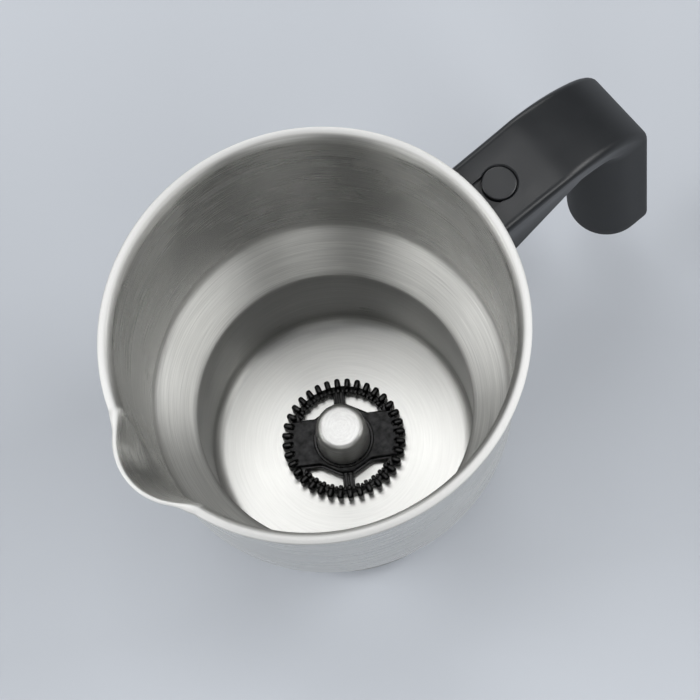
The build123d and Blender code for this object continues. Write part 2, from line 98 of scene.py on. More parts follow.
class Slot(Enum):
    """Material slots of the object's record."""

    SHELL_STEEL = "shell_steel"
    BASE_STEEL = "base_steel"
    SPINDLE_STEEL = "spindle_steel"
    CORE_ALUMINIUM = "core_aluminium"
    BRACKET_STEEL = "bracket_steel"
    FASTENER_STEEL = "fastener_steel"
    MAGNET_NICKEL = "magnet_nickel"
    HANDLE_PLASTIC = "handle_plastic"
    FRAME_PLASTIC = "frame_plastic"
    PLATE_PLASTIC = "plate_plastic"
    BUSH_PLASTIC = "bush_plastic"


Finishes = dict[Slot, bpy.types.Material]


# ---------------------------------------------------------------- shapes shared by the pieces
def rounded_path(corners: Sequence[Point], radii: Sequence[float], steps: int = 8) -> list[Point]:
    """Rounds the inner corners of an open path in its own plane.

    Args:
        corners: the path's corners, first and last included.
        radii: one radius for each corner between the first and the last.
        steps: straight pieces in each rounding.

    Returns:
        The points of the rounded path.
    """
    path = [Vector(corners[0])]
    for before, corner, after, radius in zip(corners, corners[1:], corners[2:], radii):
        here = Vector(corner)
        if radius <= 0:
            path.append(here)
            continue
        back = (Vector(before) - here).normalized()
        ahead = (Vector(after) - here).normalized()
        half_angle = back.angle(ahead) / 2
        centre = here + (back + ahead).normalized() * radius / math.sin(half_angle)
        start = here + back * radius / math.tan(half_angle) - centre
        turn = math.pi - 2 * half_angle
        turn *= 1 if back.cross(ahead) < 0 else -1
        for step in range(steps + 1):
            arm = start.copy()
            arm.rotate(Matrix.Rotation(turn * step / steps, 2))
            path.append(centre + arm)
    path.append(Vector(corners[-1]))
    return [(p.x, p.y) for p in path]


def resampled(path: Sequence[Point], longest: float) -> list[Point]:
    """Divides a path's long runs so that none is longer than a limit.

    Args:
        path: the path's points.
        longest: the longest run allowed.

    Returns:
        The path's points with more between them.
    """
    points = [path[0]]
    for (x0, y0), (x1, y1) in zip(path, path[1:]):
        runs = max(1, math.ceil(math.hypot(x1 - x0, y1 - y0) / longest))
        points += [(x0 + (x1 - x0) * k / runs, y0 + (y1 - y0) * k / runs) for k in range(1, runs + 1)]
    return points


def hermite(start: Point, end: Point, leaves: Point, arrives: Point, share: float) -> Point:
    """Point on a curve between two ends with set directions there.

    Args:
        start: first end.
        end: last end.
        leaves: direction at the start, as long as its pull.
        arrives: direction at the end, as long as its pull.
        share: 0 at the start and 1 at the end.

    Returns:
        The point.
    """
    chord = math.dist(start, end)
    t2, t3 = share**2, share**3
    weights = (2 * t3 - 3 * t2 + 1, (t3 - 2 * t2 + share) * chord, 3 * t2 - 2 * t3, (t3 - t2) * chord)
    return tuple(
        weights[0] * start[i] + weights[1] * leaves[i] + weights[2] * end[i] + weights[3] * arrives[i]
        for i in (0, 1)
    )


def object_from(name: str, mesh: bmesh.types.BMesh, sharp_degrees: float = 40.0) -> bpy.types.Object:
    """Turns a bmesh into a linked object with soft shading and crisp corners.

    Args:
        name: the new object's name.
        mesh: the bmesh, which is freed.
        sharp_degrees: edges that turn by more than this stay crisp.

    Returns:
        The new object.
    """
    data = bpy.data.meshes.new(name)
    mesh.to_mesh(data)
    mesh.free()
    piece = bpy.data.objects.new(name, data)
    crisp(piece, sharp_degrees)
    bpy.context.scene.collection.objects.link(piece)
    return piece


def crisp(piece: bpy.types.Object, sharp_degrees: float) -> None:
    """Shades a piece softly, with crisp edges where it turns by more than some degrees."""
    piece.data.shade_smooth()
    piece.data.set_sharp_from_angle(angle=math.radians(sharp_degrees))


def grid_mesh(name: str, rows: Sequence[Sequence[Vector]], caps: bool = False) -> bpy.types.Object:
    """Skins rows of points that each close on themselves.

    Args:
        name: the new object's name.
        rows: rings of equally many points; a ring whose points coincide closes the skin.
        caps: whether the first and the last ring get a flat face.

    Returns:
        The new object, with its faces outwards.
    """
    mesh = bmesh.new()
    rings = [[mesh.verts.new(point) for point in row] for row in rows]
    for low, high in zip(rings, rings[1:]):
        for k in range(len(low)):
            following = (k + 1) % len(low)
            mesh.faces.new((low[k], low[following], high[following], high[k]))
    if caps:
        mesh.faces.new(rings[0])
        mesh.faces.new(rings[-1])
    bmesh.ops.remove_doubles(mesh, verts=mesh.verts, dist=MERGE_WITHIN)
    bmesh.ops.dissolve_degenerate(mesh, edges=mesh.edges, dist=SHORTEST_EDGE)
    bmesh.ops.recalc_face_normals(mesh, faces=mesh.faces)
    return object_from(name, mesh)


def revolved(name: str, profile: Sequence[Point], segments: int = 160) -> bpy.types.Object:
    """Turns a half section round the Z axis.

    Args:
        name: the new object's name.
        profile: (radius, height) points from one end of the section to the other.
        segments: steps round the axis.

    Returns:
        The new object.
    """
    turns = [FULL_TURN * k / segments for k in range(segments)]
    rows = [[Vector((r * math.cos(a), r * math.sin(a), z)) for a in turns] for r, z in profile]
    return grid_mesh(name, rows)


def from_spout(turn: float) -> float:
    """Angle between a direction and the spout's middle."""
    return abs(turn % FULL_TURN - math.pi)


def ring_of(radius: float, segments: int = 128) -> list[Point]:
    """Points of a circle round the axis."""
    turns = [FULL_TURN * k / segments for k in range(segments)]
    return [(radius * math.cos(turn), radius * math.sin(turn)) for turn in turns]


def plate_from(
    name: str,
    outlines: Sequence[Sequence[Point]],
    low: float,
    high: float,
    bevel: float,
    sharp_degrees: float = 50.0,
) -> bpy.types.Object:
    """Cuts a flat plate with round edges out of closed outlines.

    Args:
        name: the new object's name.
        outlines: the outer outline and those of its holes.
        low: height of the underside.
        high: height of the top.
        bevel: radius of its edges.
        sharp_degrees: edges that turn by more than this stay crisp.

    Returns:
        The new object.
    """
    curve = bpy.data.curves.new(name, "CURVE")
    curve.dimensions = "2D"
    curve.fill_mode = "BOTH"
    curve.extrude = (high - low) / 2 - bevel
    curve.bevel_depth = bevel
    curve.bevel_resolution = 2
    curve.offset = -bevel
    for outline in outlines:
        spline = curve.splines.new("POLY")
        spline.points.add(len(outline) - 1)
        spline.points.foreach_set("co", [value for x, y in outline for value in (x, y, 0.0, 1.0)])
        spline.use_cyclic_u = True
    sketch = bpy.data.objects.new(name, curve)
    bpy.context.scene.collection.objects.link(sketch)
    flat = evaluated_mesh(sketch)
    bpy.data.objects.remove(sketch)
    mesh = bmesh.new()
    mesh.from_mesh(flat)
    mesh.transform(Matrix.Translation((0, 0, (low + high) / 2)))
    bmesh.ops.remove_doubles(mesh, verts=mesh.verts, dist=MERGE_PLATE_WITHIN)
    bmesh.ops.recalc_face_normals(mesh, faces=mesh.faces)
    return object_from(name, mesh, sharp_degrees)


def evaluated_mesh(piece: bpy.types.Object) -> bpy.types.Mesh:
    """The mesh that an object's curve or live modifiers make."""
    depsgraph = bpy.context.evaluated_depsgraph_get()
    return bpy.data.meshes.new_from_object(piece.evaluated_get(depsgraph), depsgraph=depsgraph)


def bake(piece: bpy.types.Object) -> None:
    """Replaces a piece's mesh by what its modifiers make of it, and removes them.

    Args:
        piece: the piece with live modifiers.
    """
    data = evaluated_mesh(piece)
    piece.modifiers.clear()
    piece.data = data


# ---------------------------------------------------------------- node trees
class Nodes:
    """A node tree, with short ways to add nodes and the links between them."""

    def __init__(self, tree: bpy.types.NodeTree) -> None:
        """Takes the tree that the nodes go into."""
        self.tree = tree

    def add(
        self, kind: str, inputs: dict[str | int, object] | None = None, **settings: object
    ) -> bpy.types.Node:
        """Adds a node and fills its inputs.

        Args:
            kind: the node's type name.
            inputs: socket values or output sockets, by input name or number.
            **settings: the node's own properties.

        Returns:
            The new node.
        """
        node = self.tree.nodes.new(kind)
        for key, value in settings.items():
            setattr(node, key, value)
        for key, value in (inputs or {}).items():
            if isinstance(value, bpy.types.NodeSocket):
                self.tree.links.new(value, node.inputs[key])
            else:
                node.inputs[key].default_value = value
        return node

    def maths(self, operation: str, *values: Value) -> bpy.types.NodeSocket:
        """Adds a Math node for one operation on its values."""
        return self.add("ShaderNodeMath", dict(enumerate(values)), operation=operation).outputs[0]

    def scaled(self, vector: Colour | bpy.types.NodeSocket, by: Value) -> bpy.types.NodeSocket:
        """Scales a vector or a colour."""
        inputs = {0: vector, "Scale": by}
        return self.add("ShaderNodeVectorMath", inputs, operation="SCALE").outputs[0]

    def remap(
        self, value: Value, low: float, high: float, at_low: Value, at_high: Value
    ) -> bpy.types.NodeSocket:
        """Maps one range of values evenly to another, and holds it at the ends.

        Args:
            value: the value to map.
            low: where its range starts.
            high: where its range ends.
            at_low: the result at the start.
            at_high: the result at the end.

        Returns:
            The socket that gives the result.
        """
        inputs = {0: value, 1: low, 2: high, 3: at_low, 4: at_high}
        return self.add("ShaderNodeMapRange", inputs).outputs[0]

    def noise(
        self, place: bpy.types.NodeSocket, scale: Value, detail: float, roughness: float = 0.5
    ) -> bpy.types.NodeSocket:
        """Adds a noise from 0 to 1.

        Args:
            place: where it is read.
            scale: how many spots it has to one unit of length.
            detail: how many finer noises are added to it.
            roughness: how strong those are.

        Returns:
            The socket that gives the noise.
        """
        inputs = {"Vector": place, "Scale": scale, "Detail": detail, "Roughness": roughness}
        return self.add("ShaderNodeTexNoise", inputs).outputs["Fac"]

    @cached_property
    def place(self) -> bpy.types.NodeSocket:
        """The place on the piece."""
        return self.add("ShaderNodeTexCoord").outputs["Object"]

    @cached_property
    def height(self) -> bpy.types.NodeSocket:
        """The height above the underside."""
        return self.add("ShaderNodeSeparateXYZ", {0: self.place}).outputs[2]


class Shader(Nodes):
    """A material with a Principled BSDF."""

    def __init__(self, name: str) -> None:
        """Starts a material with only the Principled BSDF and its output.

        Args:
            name: the material's name.
        """
        self.material = bpy.data.materials.new(name)
        self.material.use_nodes = True
        super().__init__(self.material.node_tree)
        self.bsdf = self.tree.nodes["Principled BSDF"]

    def feed(self, socket: str, source: bpy.types.NodeSocket) -> None:
        """Links a socket into the Principled BSDF."""
        self.tree.links.new(source, self.bsdf.inputs[socket])

    def set(self, socket: str, value: float | tuple[float, ...]) -> None:
        """Sets a value that is the same all over."""
        self.bsdf.inputs[socket].default_value = value

    def bump(self, relief: bpy.types.NodeSocket, depth: float) -> None:
        """Raises a relief of some depth on the surface."""
        inputs = {"Height": relief, "Distance": depth, "Strength": 1.0}
        self.feed("Normal", self.add("ShaderNodeBump", inputs).outputs[0])


def new_group(name: str, inputs: dict[str, float], outputs: Sequence[str]) -> bpy.types.NodeTree:
    """Starts a shader node group with named float inputs and outputs.

    Args:
        name: the group's name.
        inputs: the inputs' names and default values.
        outputs: the outputs' names.

    Returns:
        The group's node tree.
    """
    tree = bpy.data.node_groups.new(name, "ShaderNodeTree")
    for key, value in inputs.items():
        tree.interface.new_socket(key, in_out="INPUT", socket_type="NodeSocketFloat").default_value = value
    for key in outputs:
        tree.interface.new_socket(key, in_out="OUTPUT", socket_type="NodeSocketFloat")
    return tree


def turning_lines_group() -> bpy.types.NodeTree:
    """Builds the group for fine lines left by brushing round the Z axis.

    Returns:
        A group with Spacing, Reach and Blotch inputs and Lines and Cloud outputs from 0 to 1.
    """
    inputs = {"Spacing": 0.4 * MM, "Reach": 3.0, "Blotch": 20 * MM}
    tree = new_group("turning_lines", inputs, ("Lines", "Cloud"))
    nodes = Nodes(tree)
    given = nodes.add("NodeGroupInput").outputs
    x, y, z = nodes.add("ShaderNodeSeparateXYZ", {0: nodes.place}).outputs
    flat = nodes.add("ShaderNodeCombineXYZ", {0: x, 1: y}).outputs[0]
    radius = nodes.add("ShaderNodeVectorMath", {0: flat}, operation="LENGTH").outputs["Value"]
    around = nodes.add("ShaderNodeVectorMath", {0: flat}, operation="NORMALIZE").outputs[0]
    spread = nodes.add("ShaderNodeSeparateXYZ", {0: nodes.scaled(around, given["Reach"])}).outputs
    across = nodes.maths("DIVIDE", nodes.maths("ADD", radius, z), given["Spacing"])
    on_line = nodes.add("ShaderNodeCombineXYZ", {0: spread[0], 1: spread[1], 2: across}).outputs[0]
    lines = nodes.noise(on_line, 1.0, detail=3.0, roughness=0.65)
    cloud = nodes.noise(nodes.place, nodes.maths("DIVIDE", 1.0, given["Blotch"]), detail=2.0)
    nodes.add("NodeGroupOutput", {"Lines": lines, "Cloud": cloud})
    return tree


def moulded_grain_group() -> bpy.types.NodeTree:
    """Builds the group for the fine spark-eroded grain of moulded plastic.

    Returns:
        A group with Grain and Patch size inputs and Relief and Patches outputs from 0 to 1.
    """
    tree = new_group("moulded_grain", {"Grain": 0.3 * MM, "Patch": 15 * MM}, ("Relief", "Patches"))
    nodes = Nodes(tree)
    given = nodes.add("NodeGroupInput").outputs
    relief = nodes.noise(nodes.place, nodes.maths("DIVIDE", 1.0, given["Grain"]), detail=2.0)
    patches = nodes.noise(nodes.place, nodes.maths("DIVIDE", 1.0, given["Patch"]), detail=3.0)
    nodes.add("NodeGroupOutput", {"Relief": relief, "Patches": patches})
    return tree


def arc_row_tree() -> bpy.types.GeometryNodeTree:
    """Builds the tree that adds copies of one shape in a row round the axis.

    Returns:
        A geometry node tree that joins the row to the mesh it is given.
    """
    tree = bpy.data.node_groups.new("arc_row", "GeometryNodeTree")
    for name, kind in (
        ("Geometry", "Geometry"),
        ("Shape", "Object"),
        ("Count", "Int"),
        ("Radius", "Float"),
        ("First Angle", "Float"),
        ("Step Angle", "Float"),
        ("Aside", "Float"),
        ("Material", "Material"),
    ):
        tree.interface.new_socket(name, in_out="INPUT", socket_type=f"NodeSocket{kind}")
    tree.interface.new_socket("Geometry", in_out="OUTPUT", socket_type="NodeSocketGeometry")
    nodes = Nodes(tree)
    given = nodes.add("NodeGroupInput").outputs
    number = nodes.add("GeometryNodeInputIndex").outputs[0]
    angle = nodes.maths("ADD", nodes.maths("MULTIPLY", number, given["Step Angle"]), given["First Angle"])
    spin = nodes.add("ShaderNodeCombineXYZ", {2: angle}).outputs[0]
    home = nodes.add("ShaderNodeCombineXYZ", {0: given["Radius"], 1: given["Aside"]}).outputs[0]
    turned = nodes.add("ShaderNodeVectorRotate", {"Vector": home, "Angle": angle}, rotation_type="Z_AXIS")
    spots = {"Count": given["Count"], "Position": turned.outputs[0]}
    points = nodes.add("GeometryNodePoints", spots).outputs[0]
    shape = nodes.add("GeometryNodeObjectInfo", {"Object": given["Shape"]}).outputs["Geometry"]
    copies = {"Points": points, "Instance": shape, "Rotation": spin}
    row = nodes.add("GeometryNodeInstanceOnPoints", copies).outputs[0]
    joined = nodes.add("GeometryNodeJoinGeometry", {0: row})
    tree.links.new(given["Geometry"], joined.inputs[0])
    real = nodes.add("GeometryNodeRealizeInstances", {0: joined.outputs[0]}).outputs[0]
    finished = nodes.add("GeometryNodeSetMaterial", {"Geometry": real, "Material": given["Material"]})
    nodes.add("NodeGroupOutput", {0: finished.outputs[0]})
    return tree


def add_row(piece: bpy.types.Object, tree: bpy.types.GeometryNodeTree, **inputs: object) -> None:
    """Adds a row to a piece as a live modifier.

    Args:
        piece: the object that gets the row.
        tree: the tree from arc_row_tree.
        **inputs: the tree's inputs, with _ for each blank in their names.
    """
    modifier = piece.modifiers.new("row", "NODES")
    modifier.node_group = tree
    for socket in tree.interface.items_tree:
        key = socket.name.replace(" ", "_").lower()
        if socket.in_out == "INPUT" and key in inputs:
            modifier[socket.identifier] = inputs[key]


# ---------------------------------------------------------------- kinds of finish
@dataclass(frozen=True)
class Band:
    """How a turned surface is finished at one height; it changes evenly to the next band's finish.

    The swing is how far the roughness goes up and down from line to line, the painted light is how far
    the steel's colour is scaled to paint light and shade at that height, and the streaks are how much
    darker its darkest lines are.
    """

    height: float
    roughness: float
    swing: float = 0.02
    # Painted light: a factor on the colour, above 1 a painted highlight, below 1 painted shade.
    tone: float = 1.0
    streaks: float = 0.24


@dataclass(frozen=True)
class BrushedMetal:
    """Metal brushed or turned round the Z axis, so that its shine stretches across the lines.

    Bands, where it has them, take the place of its roughness, swings and shade, and scale its colour
    by height to paint light and shade into it.  From satin_above upwards it is satin, and its colour
    is painted pale there as a painted highlight on the rim.
    """

    slot: Slot
    colour: Colour
    roughness: float
    roughness_swing: float = 0.08
    line_spacing: float = 0.6 * MM
    line_reach: float = 2.0
    line_height: float = 0.003 * MM
    shade_swing: float = 0.16
    anisotropy: float = 0.6
    shine_turn: float = 0.25
    bands: tuple[Band, ...] = ()
    satin_above: float | None = None
    # Pale colour above satin_above: a painted highlight on the rim.
    painted_highlight_colour: Colour = (0.92, 0.92, 0.91)
    satin_blend: float = 0.6 * MM

    def banded(self, shader: Shader, name: str) -> Value:
        """Adds the nodes for one value that changes with height.

        Args:
            shader: the material being made.
            name: the value's name in Band.

        Returns:
            The socket that gives the value.
        """
        total: Value = getattr(self.bands[0], name)
        for low, high in zip(self.bands, self.bands[1:]):
            rise = getattr(high, name) - getattr(low, name)
            step = shader.remap(shader.height, low.height, high.height, 0.0, rise)
            total = shader.maths("ADD", total, step)
        return total

    def build(self, lines: bpy.types.NodeTree) -> bpy.types.Material:
        """Makes the material.

        Args:
            lines: the group of turning lines.

        Returns:
            The material.
        """
        shader = Shader(self.slot.value)
        spread = {"Spacing": self.line_spacing, "Reach": self.line_reach}
        brush = shader.add("ShaderNodeGroup", spread, node_tree=lines).outputs
        plain, swing, brightest, darkest = self.roughness, self.roughness_swing, 1.0, 1 - self.shade_swing
        # With bands, the brightest shade of the lines follows the bands' painted light, so the colour carries
        # painted highlight and painted shade by height.
        if self.bands:
            plain, swing, brightest, streaks = (
                self.banded(shader, name) for name in ("roughness", "swing", "tone", "streaks")
            )
            darkest = shader.maths("MULTIPLY", brightest, shader.maths("SUBTRACT", 1.0, streaks))
        colour = shader.scaled(self.colour, shader.remap(brush["Lines"], *NOISE_RANGE, darkest, brightest))
        mixed = shader.maths("ADD", brush["Lines"], brush["Cloud"])
        uneven = shader.remap(mixed, *NOISE_PAIR_RANGE, -1.0, 1.0)
        # Above satin_above the colour is mixed to a pale one, a painted highlight on the rim.
        if self.satin_above is not None:
            below = self.satin_above - self.satin_blend
            satin = shader.remap(shader.height, below, self.satin_above, 0.0, 1.0)
            inputs = {0: satin, MIX_FIRST: colour, MIX_SECOND: (*self.painted_highlight_colour, 1)}
            colour = shader.add("ShaderNodeMix", inputs, data_type="RGBA").outputs[MIX_RESULT]
        shader.feed("Base Color", colour)
        shader.feed("Roughness", shader.maths("MULTIPLY_ADD", uneven, swing, plain))
        shader.bump(brush["Lines"], self.line_height)
        tangent = shader.add("ShaderNodeTangent", direction_type="RADIAL", axis="Z")
        shader.feed("Tangent", tangent.outputs[0])
        shader.set("Metallic", 1.0)
        shader.set("Anisotropic", self.anisotropy)
        shader.set("Anisotropic Rotation", self.shine_turn)
        return shader.material


@dataclass(frozen=True)
class MouldedPlastic:
    """Injection-moulded plastic with a fine grain and slightly uneven gloss.

    Under matt_below, where it has one, it is fully matt.
    """

    slot: Slot
    colour: Colour
    roughness: float
    roughness_swing: float = 0.05
    grain: float = 0.3 * MM
    grain_height: float = 0.01 * MM
    specular: float = 0.5
    patch: float = 15 * MM
    shade_swing: float = 0.06
    matt_below: float | None = None
    matt_blend: float = 15 * MM
    matt_roughness: float = 0.7

    def build(self, grain: bpy.types.NodeTree) -> bpy.types.Material:
        """Makes the material.

        Args:
            grain: the group of moulded grain.

        Returns:
            The material.
        """
        shader = Shader(self.slot.value)
        sizes = {"Grain": self.grain, "Patch": self.patch}
        skin = shader.add("ShaderNodeGroup", sizes, node_tree=grain).outputs
        shade = shader.remap(skin["Patches"], *NOISE_RANGE, 1 - self.shade_swing, 1 + self.shade_swing)
        shader.feed("Base Color", shader.scaled(self.colour, shade))
        glossy, dull = self.roughness - self.roughness_swing, self.roughness + self.roughness_swing
        rough = shader.remap(skin["Patches"], *NOISE_RANGE, glossy, dull)
        if self.matt_below is not None:
            above = self.matt_below + self.matt_blend
            rough = shader.remap(shader.height, self.matt_below, above, self.matt_roughness, rough)
        shader.feed("Roughness", rough)
        shader.bump(skin["Relief"], self.grain_height)
        shader.set("Specular IOR Level", self.specular)
        return shader.material


def dress(piece: bpy.types.Object, material: bpy.types.Material) -> None:
    """Gives a piece one finish all over."""
    piece.data.materials.clear()
    piece.data.materials.append(material)


def stand_in(piece: bpy.types.Object, node: str, body: Body, slot: Slot, finishes: Finishes) -> None:
    """Puts a piece in the place of a solid of the frame.

    Args:
        piece: the new piece.
        node: the solid that it stands for.
        body: the body that it rides on.
        slot: the record's material slot.
        finishes: the materials by their slots.
    """
    dress(piece, finishes[slot])
    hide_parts(node)
    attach(piece, body.value)
    LOG.info("%s: %d faces", piece.name, len(piece.data.polygons))


# ---------------------------------------------------------------- the jug's shell
@dataclass
class JugShell:
    """The drawn sheet shell: stepped cavity, pressed spout and rolled rim.

    Radii are the inside face's, drops count down from the rim's middle plane, and the spout is a
    slanted cone from the lip down to the channel's root.
    """

    wall: float = 0.8 * MM
    floor_z: float = 5.0 * MM
    rim_z: float = 128.8 * MM
    mouth_radius: float = 55.8 * MM
    mouth_squeeze: float = 1.0 * MM
    flare_radius: float = 6.0 * MM
    flare_angle: float = math.radians(50.0)
    shoulder_radius: float = 51.5 * MM
    shoulder_drop: float = 64.3 * MM
    well_radius: float = 40.5 * MM
    step_drop: float = 80.5 * MM
    floor_corner: float = 3.7 * MM
    shoulder_blend: float = 7.0 * MM
    step_blend: float = 2.2 * MM
    bead_radius: float = 1.05 * MM
    lip_bead_radius: float = 0.45 * MM
    lip_radius: float = 17.4 * MM
    lip_centre: float = 44.0 * MM
    root_radius: float = 8.2 * MM
    root_centre: float = 44.39 * MM
    channel_depth: float = 27.0 * MM
    channel_run_out: float = 1.25
    spout_reach: float = math.radians(45.0)
    crease: float = 3.2 * MM
    bead_thins_from: float = math.radians(17.5)
    bead_thin_at: float = math.radians(12.0)
    shine_end: float = 0.3 * MM
    shade_start: float = 2.0 * MM
    rim_fade: float = 2.0 * MM
    longest_run: float = 1.5 * MM
    flare_steps: int = 10
    bead_steps: int = 18
    fine_turn: float = math.radians(0.5)
    fine_steps: int = 60
    coarse_steps: int = 200

    def outside_radius(self, height: float) -> float:
        """Outside radius of the upper wall at a height, away from the spout."""
        slope = (self.neck_radius - self.shoulder_radius) / self.shoulder_drop
        return self.neck_radius - slope * (self.rim_z - height) + self.wall

    @property
    def bands(self) -> tuple[Band, ...]:
        """The finish from the bright floor up through the step and brushed wall to the satin rim, with
        light and shade painted into the steel's colour on the way.

        Returns:
            The bands, from the lowest to the highest.
        """
        floor, corner = self.floor_z, self.floor_corner
        step, shoulder = self.rim_z - self.step_drop, self.rim_z - self.shoulder_drop
        return (
            # The painted light factors paint shade into the floor's corner and down the well wall, make the
            # floor a little darker, and paint a highlight onto the cone.
            Band(floor + self.shine_end, 0.34, 0.008, tone=0.97, streaks=0.10),
            Band(floor + self.shade_start, 0.42, 0.01, tone=0.75),
            Band(floor + corner, 0.44, 0.01, tone=0.58),
            Band(floor + 2 * corner, 0.28, 0.01, tone=0.56),
            Band(step - self.step_blend, 0.30, 0.01, tone=0.56),
            Band(step + self.step_blend, 0.43, 0.015, tone=1.07),
            Band(shoulder - self.shoulder_blend / 2, 0.43, 0.015, tone=1.07),
            Band(shoulder + self.shoulder_blend / 2, 0.27, 0.03),
            Band(self.rim_z - self.rim_fade, 0.275, 0.03),
            Band(self.rim_z, 0.38, 0.03),
            Band(self.flare_top, 0.85, 0.03),
        )

    @property
    def neck_radius(self) -> float:
        """Inside radius of the upper wall where it starts to flare."""
        return self.mouth_radius - self.flare_radius * (1 - math.cos(self.flare_angle))

    @property
    def flare_top(self) -> float:
        """Height at which the flare runs into the bead, whose middle is level with the rim."""
        return self.rim_z + self.bead_radius * math.sin(self.flare_angle)

    def turns(self) -> list[float]:
        """Directions round the axis, closer together at the spout.

        Returns:
            The directions' angles.
        """
        fine_end = self.fine_turn * self.fine_steps
        coarse_turn = (FULL_TURN - 2 * fine_end) / self.coarse_steps
        fine = [math.pi + self.fine_turn * k for k in range(-self.fine_steps, self.fine_steps)]
        return fine + [math.pi + fine_end + coarse_turn * k for k in range(self.coarse_steps)]

    def pressed_radius(self, base: float, height: float, away: float) -> float:
        """Inside radius with the spout pressed into the wall.

        Args:
            base: inside radius of the plain shell at this height.
            height: height above the underside.
            away: angle from the spout's middle.

        Returns:
            The inside radius.
        """
        share = (self.rim_z - height) / self.channel_depth
        radius = self.lip_radius + (self.root_radius - self.lip_radius) * share
        centre = self.lip_centre + (self.root_centre - self.lip_centre) * share
        across = centre * math.sin(away)
        if share > self.channel_run_out or away > self.spout_reach or abs(across) >= radius:
            return base
        reach = centre * math.cos(away) + math.sqrt(radius**2 - across**2)
        overlap = max(self.crease - abs(reach - base), 0.0) / self.crease
        return max(base, reach) + overlap**2 * self.crease / 4

    def section(self) -> list[Point]:
        """Half section of the inside face.

        Returns:
            Its (radius, height) points, from the floor's middle up to the rim.
        """
        corners = (
            (0.0, self.floor_z),
            (self.well_radius, self.floor_z),
            (self.well_radius, self.rim_z - self.step_drop),
            (self.shoulder_radius, self.rim_z - self.shoulder_drop),
            (self.neck_radius, self.flare_top - self.flare_radius * math.sin(self.flare_angle)),
        )
        radii = (self.floor_corner, self.step_blend, self.shoulder_blend)
        points = resampled(rounded_path(corners, radii), self.longest_run)
        for step in range(1, self.flare_steps + 1):
            turn = self.flare_angle * step / self.flare_steps
            reach = self.flare_radius * (1 - math.cos(turn))
            fall = self.flare_radius * (math.sin(self.flare_angle) - math.sin(turn))
            points.append((self.neck_radius + reach, self.flare_top - fall))
        return points

    def inside(self, turns: Sequence[float]) -> list[list[Vector]]:
        """Points of the inside face, from the floor's middle up to the rim.

        Args:
            turns: directions round the axis.

        Returns:
            One row of points for each step up the section.
        """
        rows = []
        for base, height in self.section():
            row = []
            share = max(1 - (self.rim_z - height) / self.shoulder_drop, 0.0)
            for turn in turns:
                squeezed = base - self.mouth_squeeze * share * math.sin(turn) ** 2
                radius = self.pressed_radius(squeezed, height, from_spout(turn))
                row.append(Vector((radius * math.cos(turn), radius * math.sin(turn), height)))
            rows.append(row)
        return rows

    def outwards(self, rows: Sequence[Sequence[Vector]], step: int, k: int) -> Vector:
        """Unit vector out of the wall at one point of the inside face.

        Args:
            rows: the points of the inside face.
            step: the point's row.
            k: its place in the row.

        Returns:
            The unit vector.
        """
        row = rows[step]
        if row[k].xy.length < LEAST_RADIUS:
            return Vector((0, 0, -1))
        up = rows[min(step + 1, len(rows) - 1)][k] - rows[max(step - 1, 0)][k]
        around = row[(k + 1) % len(row)] - row[k - 1]
        return around.cross(up).normalized()

    def bead_at(self, turn: float) -> float:
        """Radius of the rolled rim in one direction; it thins down to the lip.

        Args:
            turn: the direction round the axis.

        Returns:
            The radius.
        """
        share = (from_spout(turn) - self.bead_thin_at) / (self.bead_thins_from - self.bead_thin_at)
        share = min(max(share, 0.0), 1.0)
        share = share * share * (3 - 2 * share)
        return self.lip_bead_radius + (self.bead_radius - self.lip_bead_radius) * share

    def curl(self, edge: Vector, out: Vector, radius: float) -> list[Vector]:
        """Points of the rolled rim where the wall ends, from its inside round to its outside.

        Args:
            edge: the last point of the inside face.
            out: unit vector out of the wall there.
            radius: the roll's radius.

        Returns:
            The points.
        """
        level = Vector((out.x, out.y, 0)).normalized()
        centre = edge + out * radius
        start = math.pi - math.asin(-out.z)
        sweep = FULL_TURN - math.acos(max((radius - self.wall) / radius, -1.0))
        turns = [start - sweep * step / self.bead_steps for step in range(self.bead_steps + 1)]
        return [centre + level * radius * math.cos(t) + Vector((0, 0, radius * math.sin(t))) for t in turns]

    def build(self) -> bpy.types.Object:
        """Builds the shell's skin: inside, rolled rim and outside.

        Returns:
            The new object.
        """
        turns = self.turns()
        inner = self.inside(turns)
        normals = [[self.outwards(inner, i, k) for k in range(len(turns))] for i in range(len(inner))]
        outer = [[p + n * self.wall for p, n in zip(row, ways)] for row, ways in zip(inner, normals)]
        curls = [
            self.curl(edge, out, self.bead_at(turn))
            for edge, out, turn in zip(inner[-1], normals[-1], turns)
        ]
        bead = [list(row) for row in zip(*curls)]
        bead_end = min(point.z for point in bead[-1])
        outside = [row for row in reversed(outer) if max(point.z for point in row) < bead_end]
        return grid_mesh("jug_shell_skin", inner[:-1] + bead + outside)

    def place(self, finishes: Finishes) -> None:
        """Puts the dressed shell in its place."""
        stand_in(self.build(), "jug_shell", Body.JUG, Slot.SHELL_STEEL, finishes)


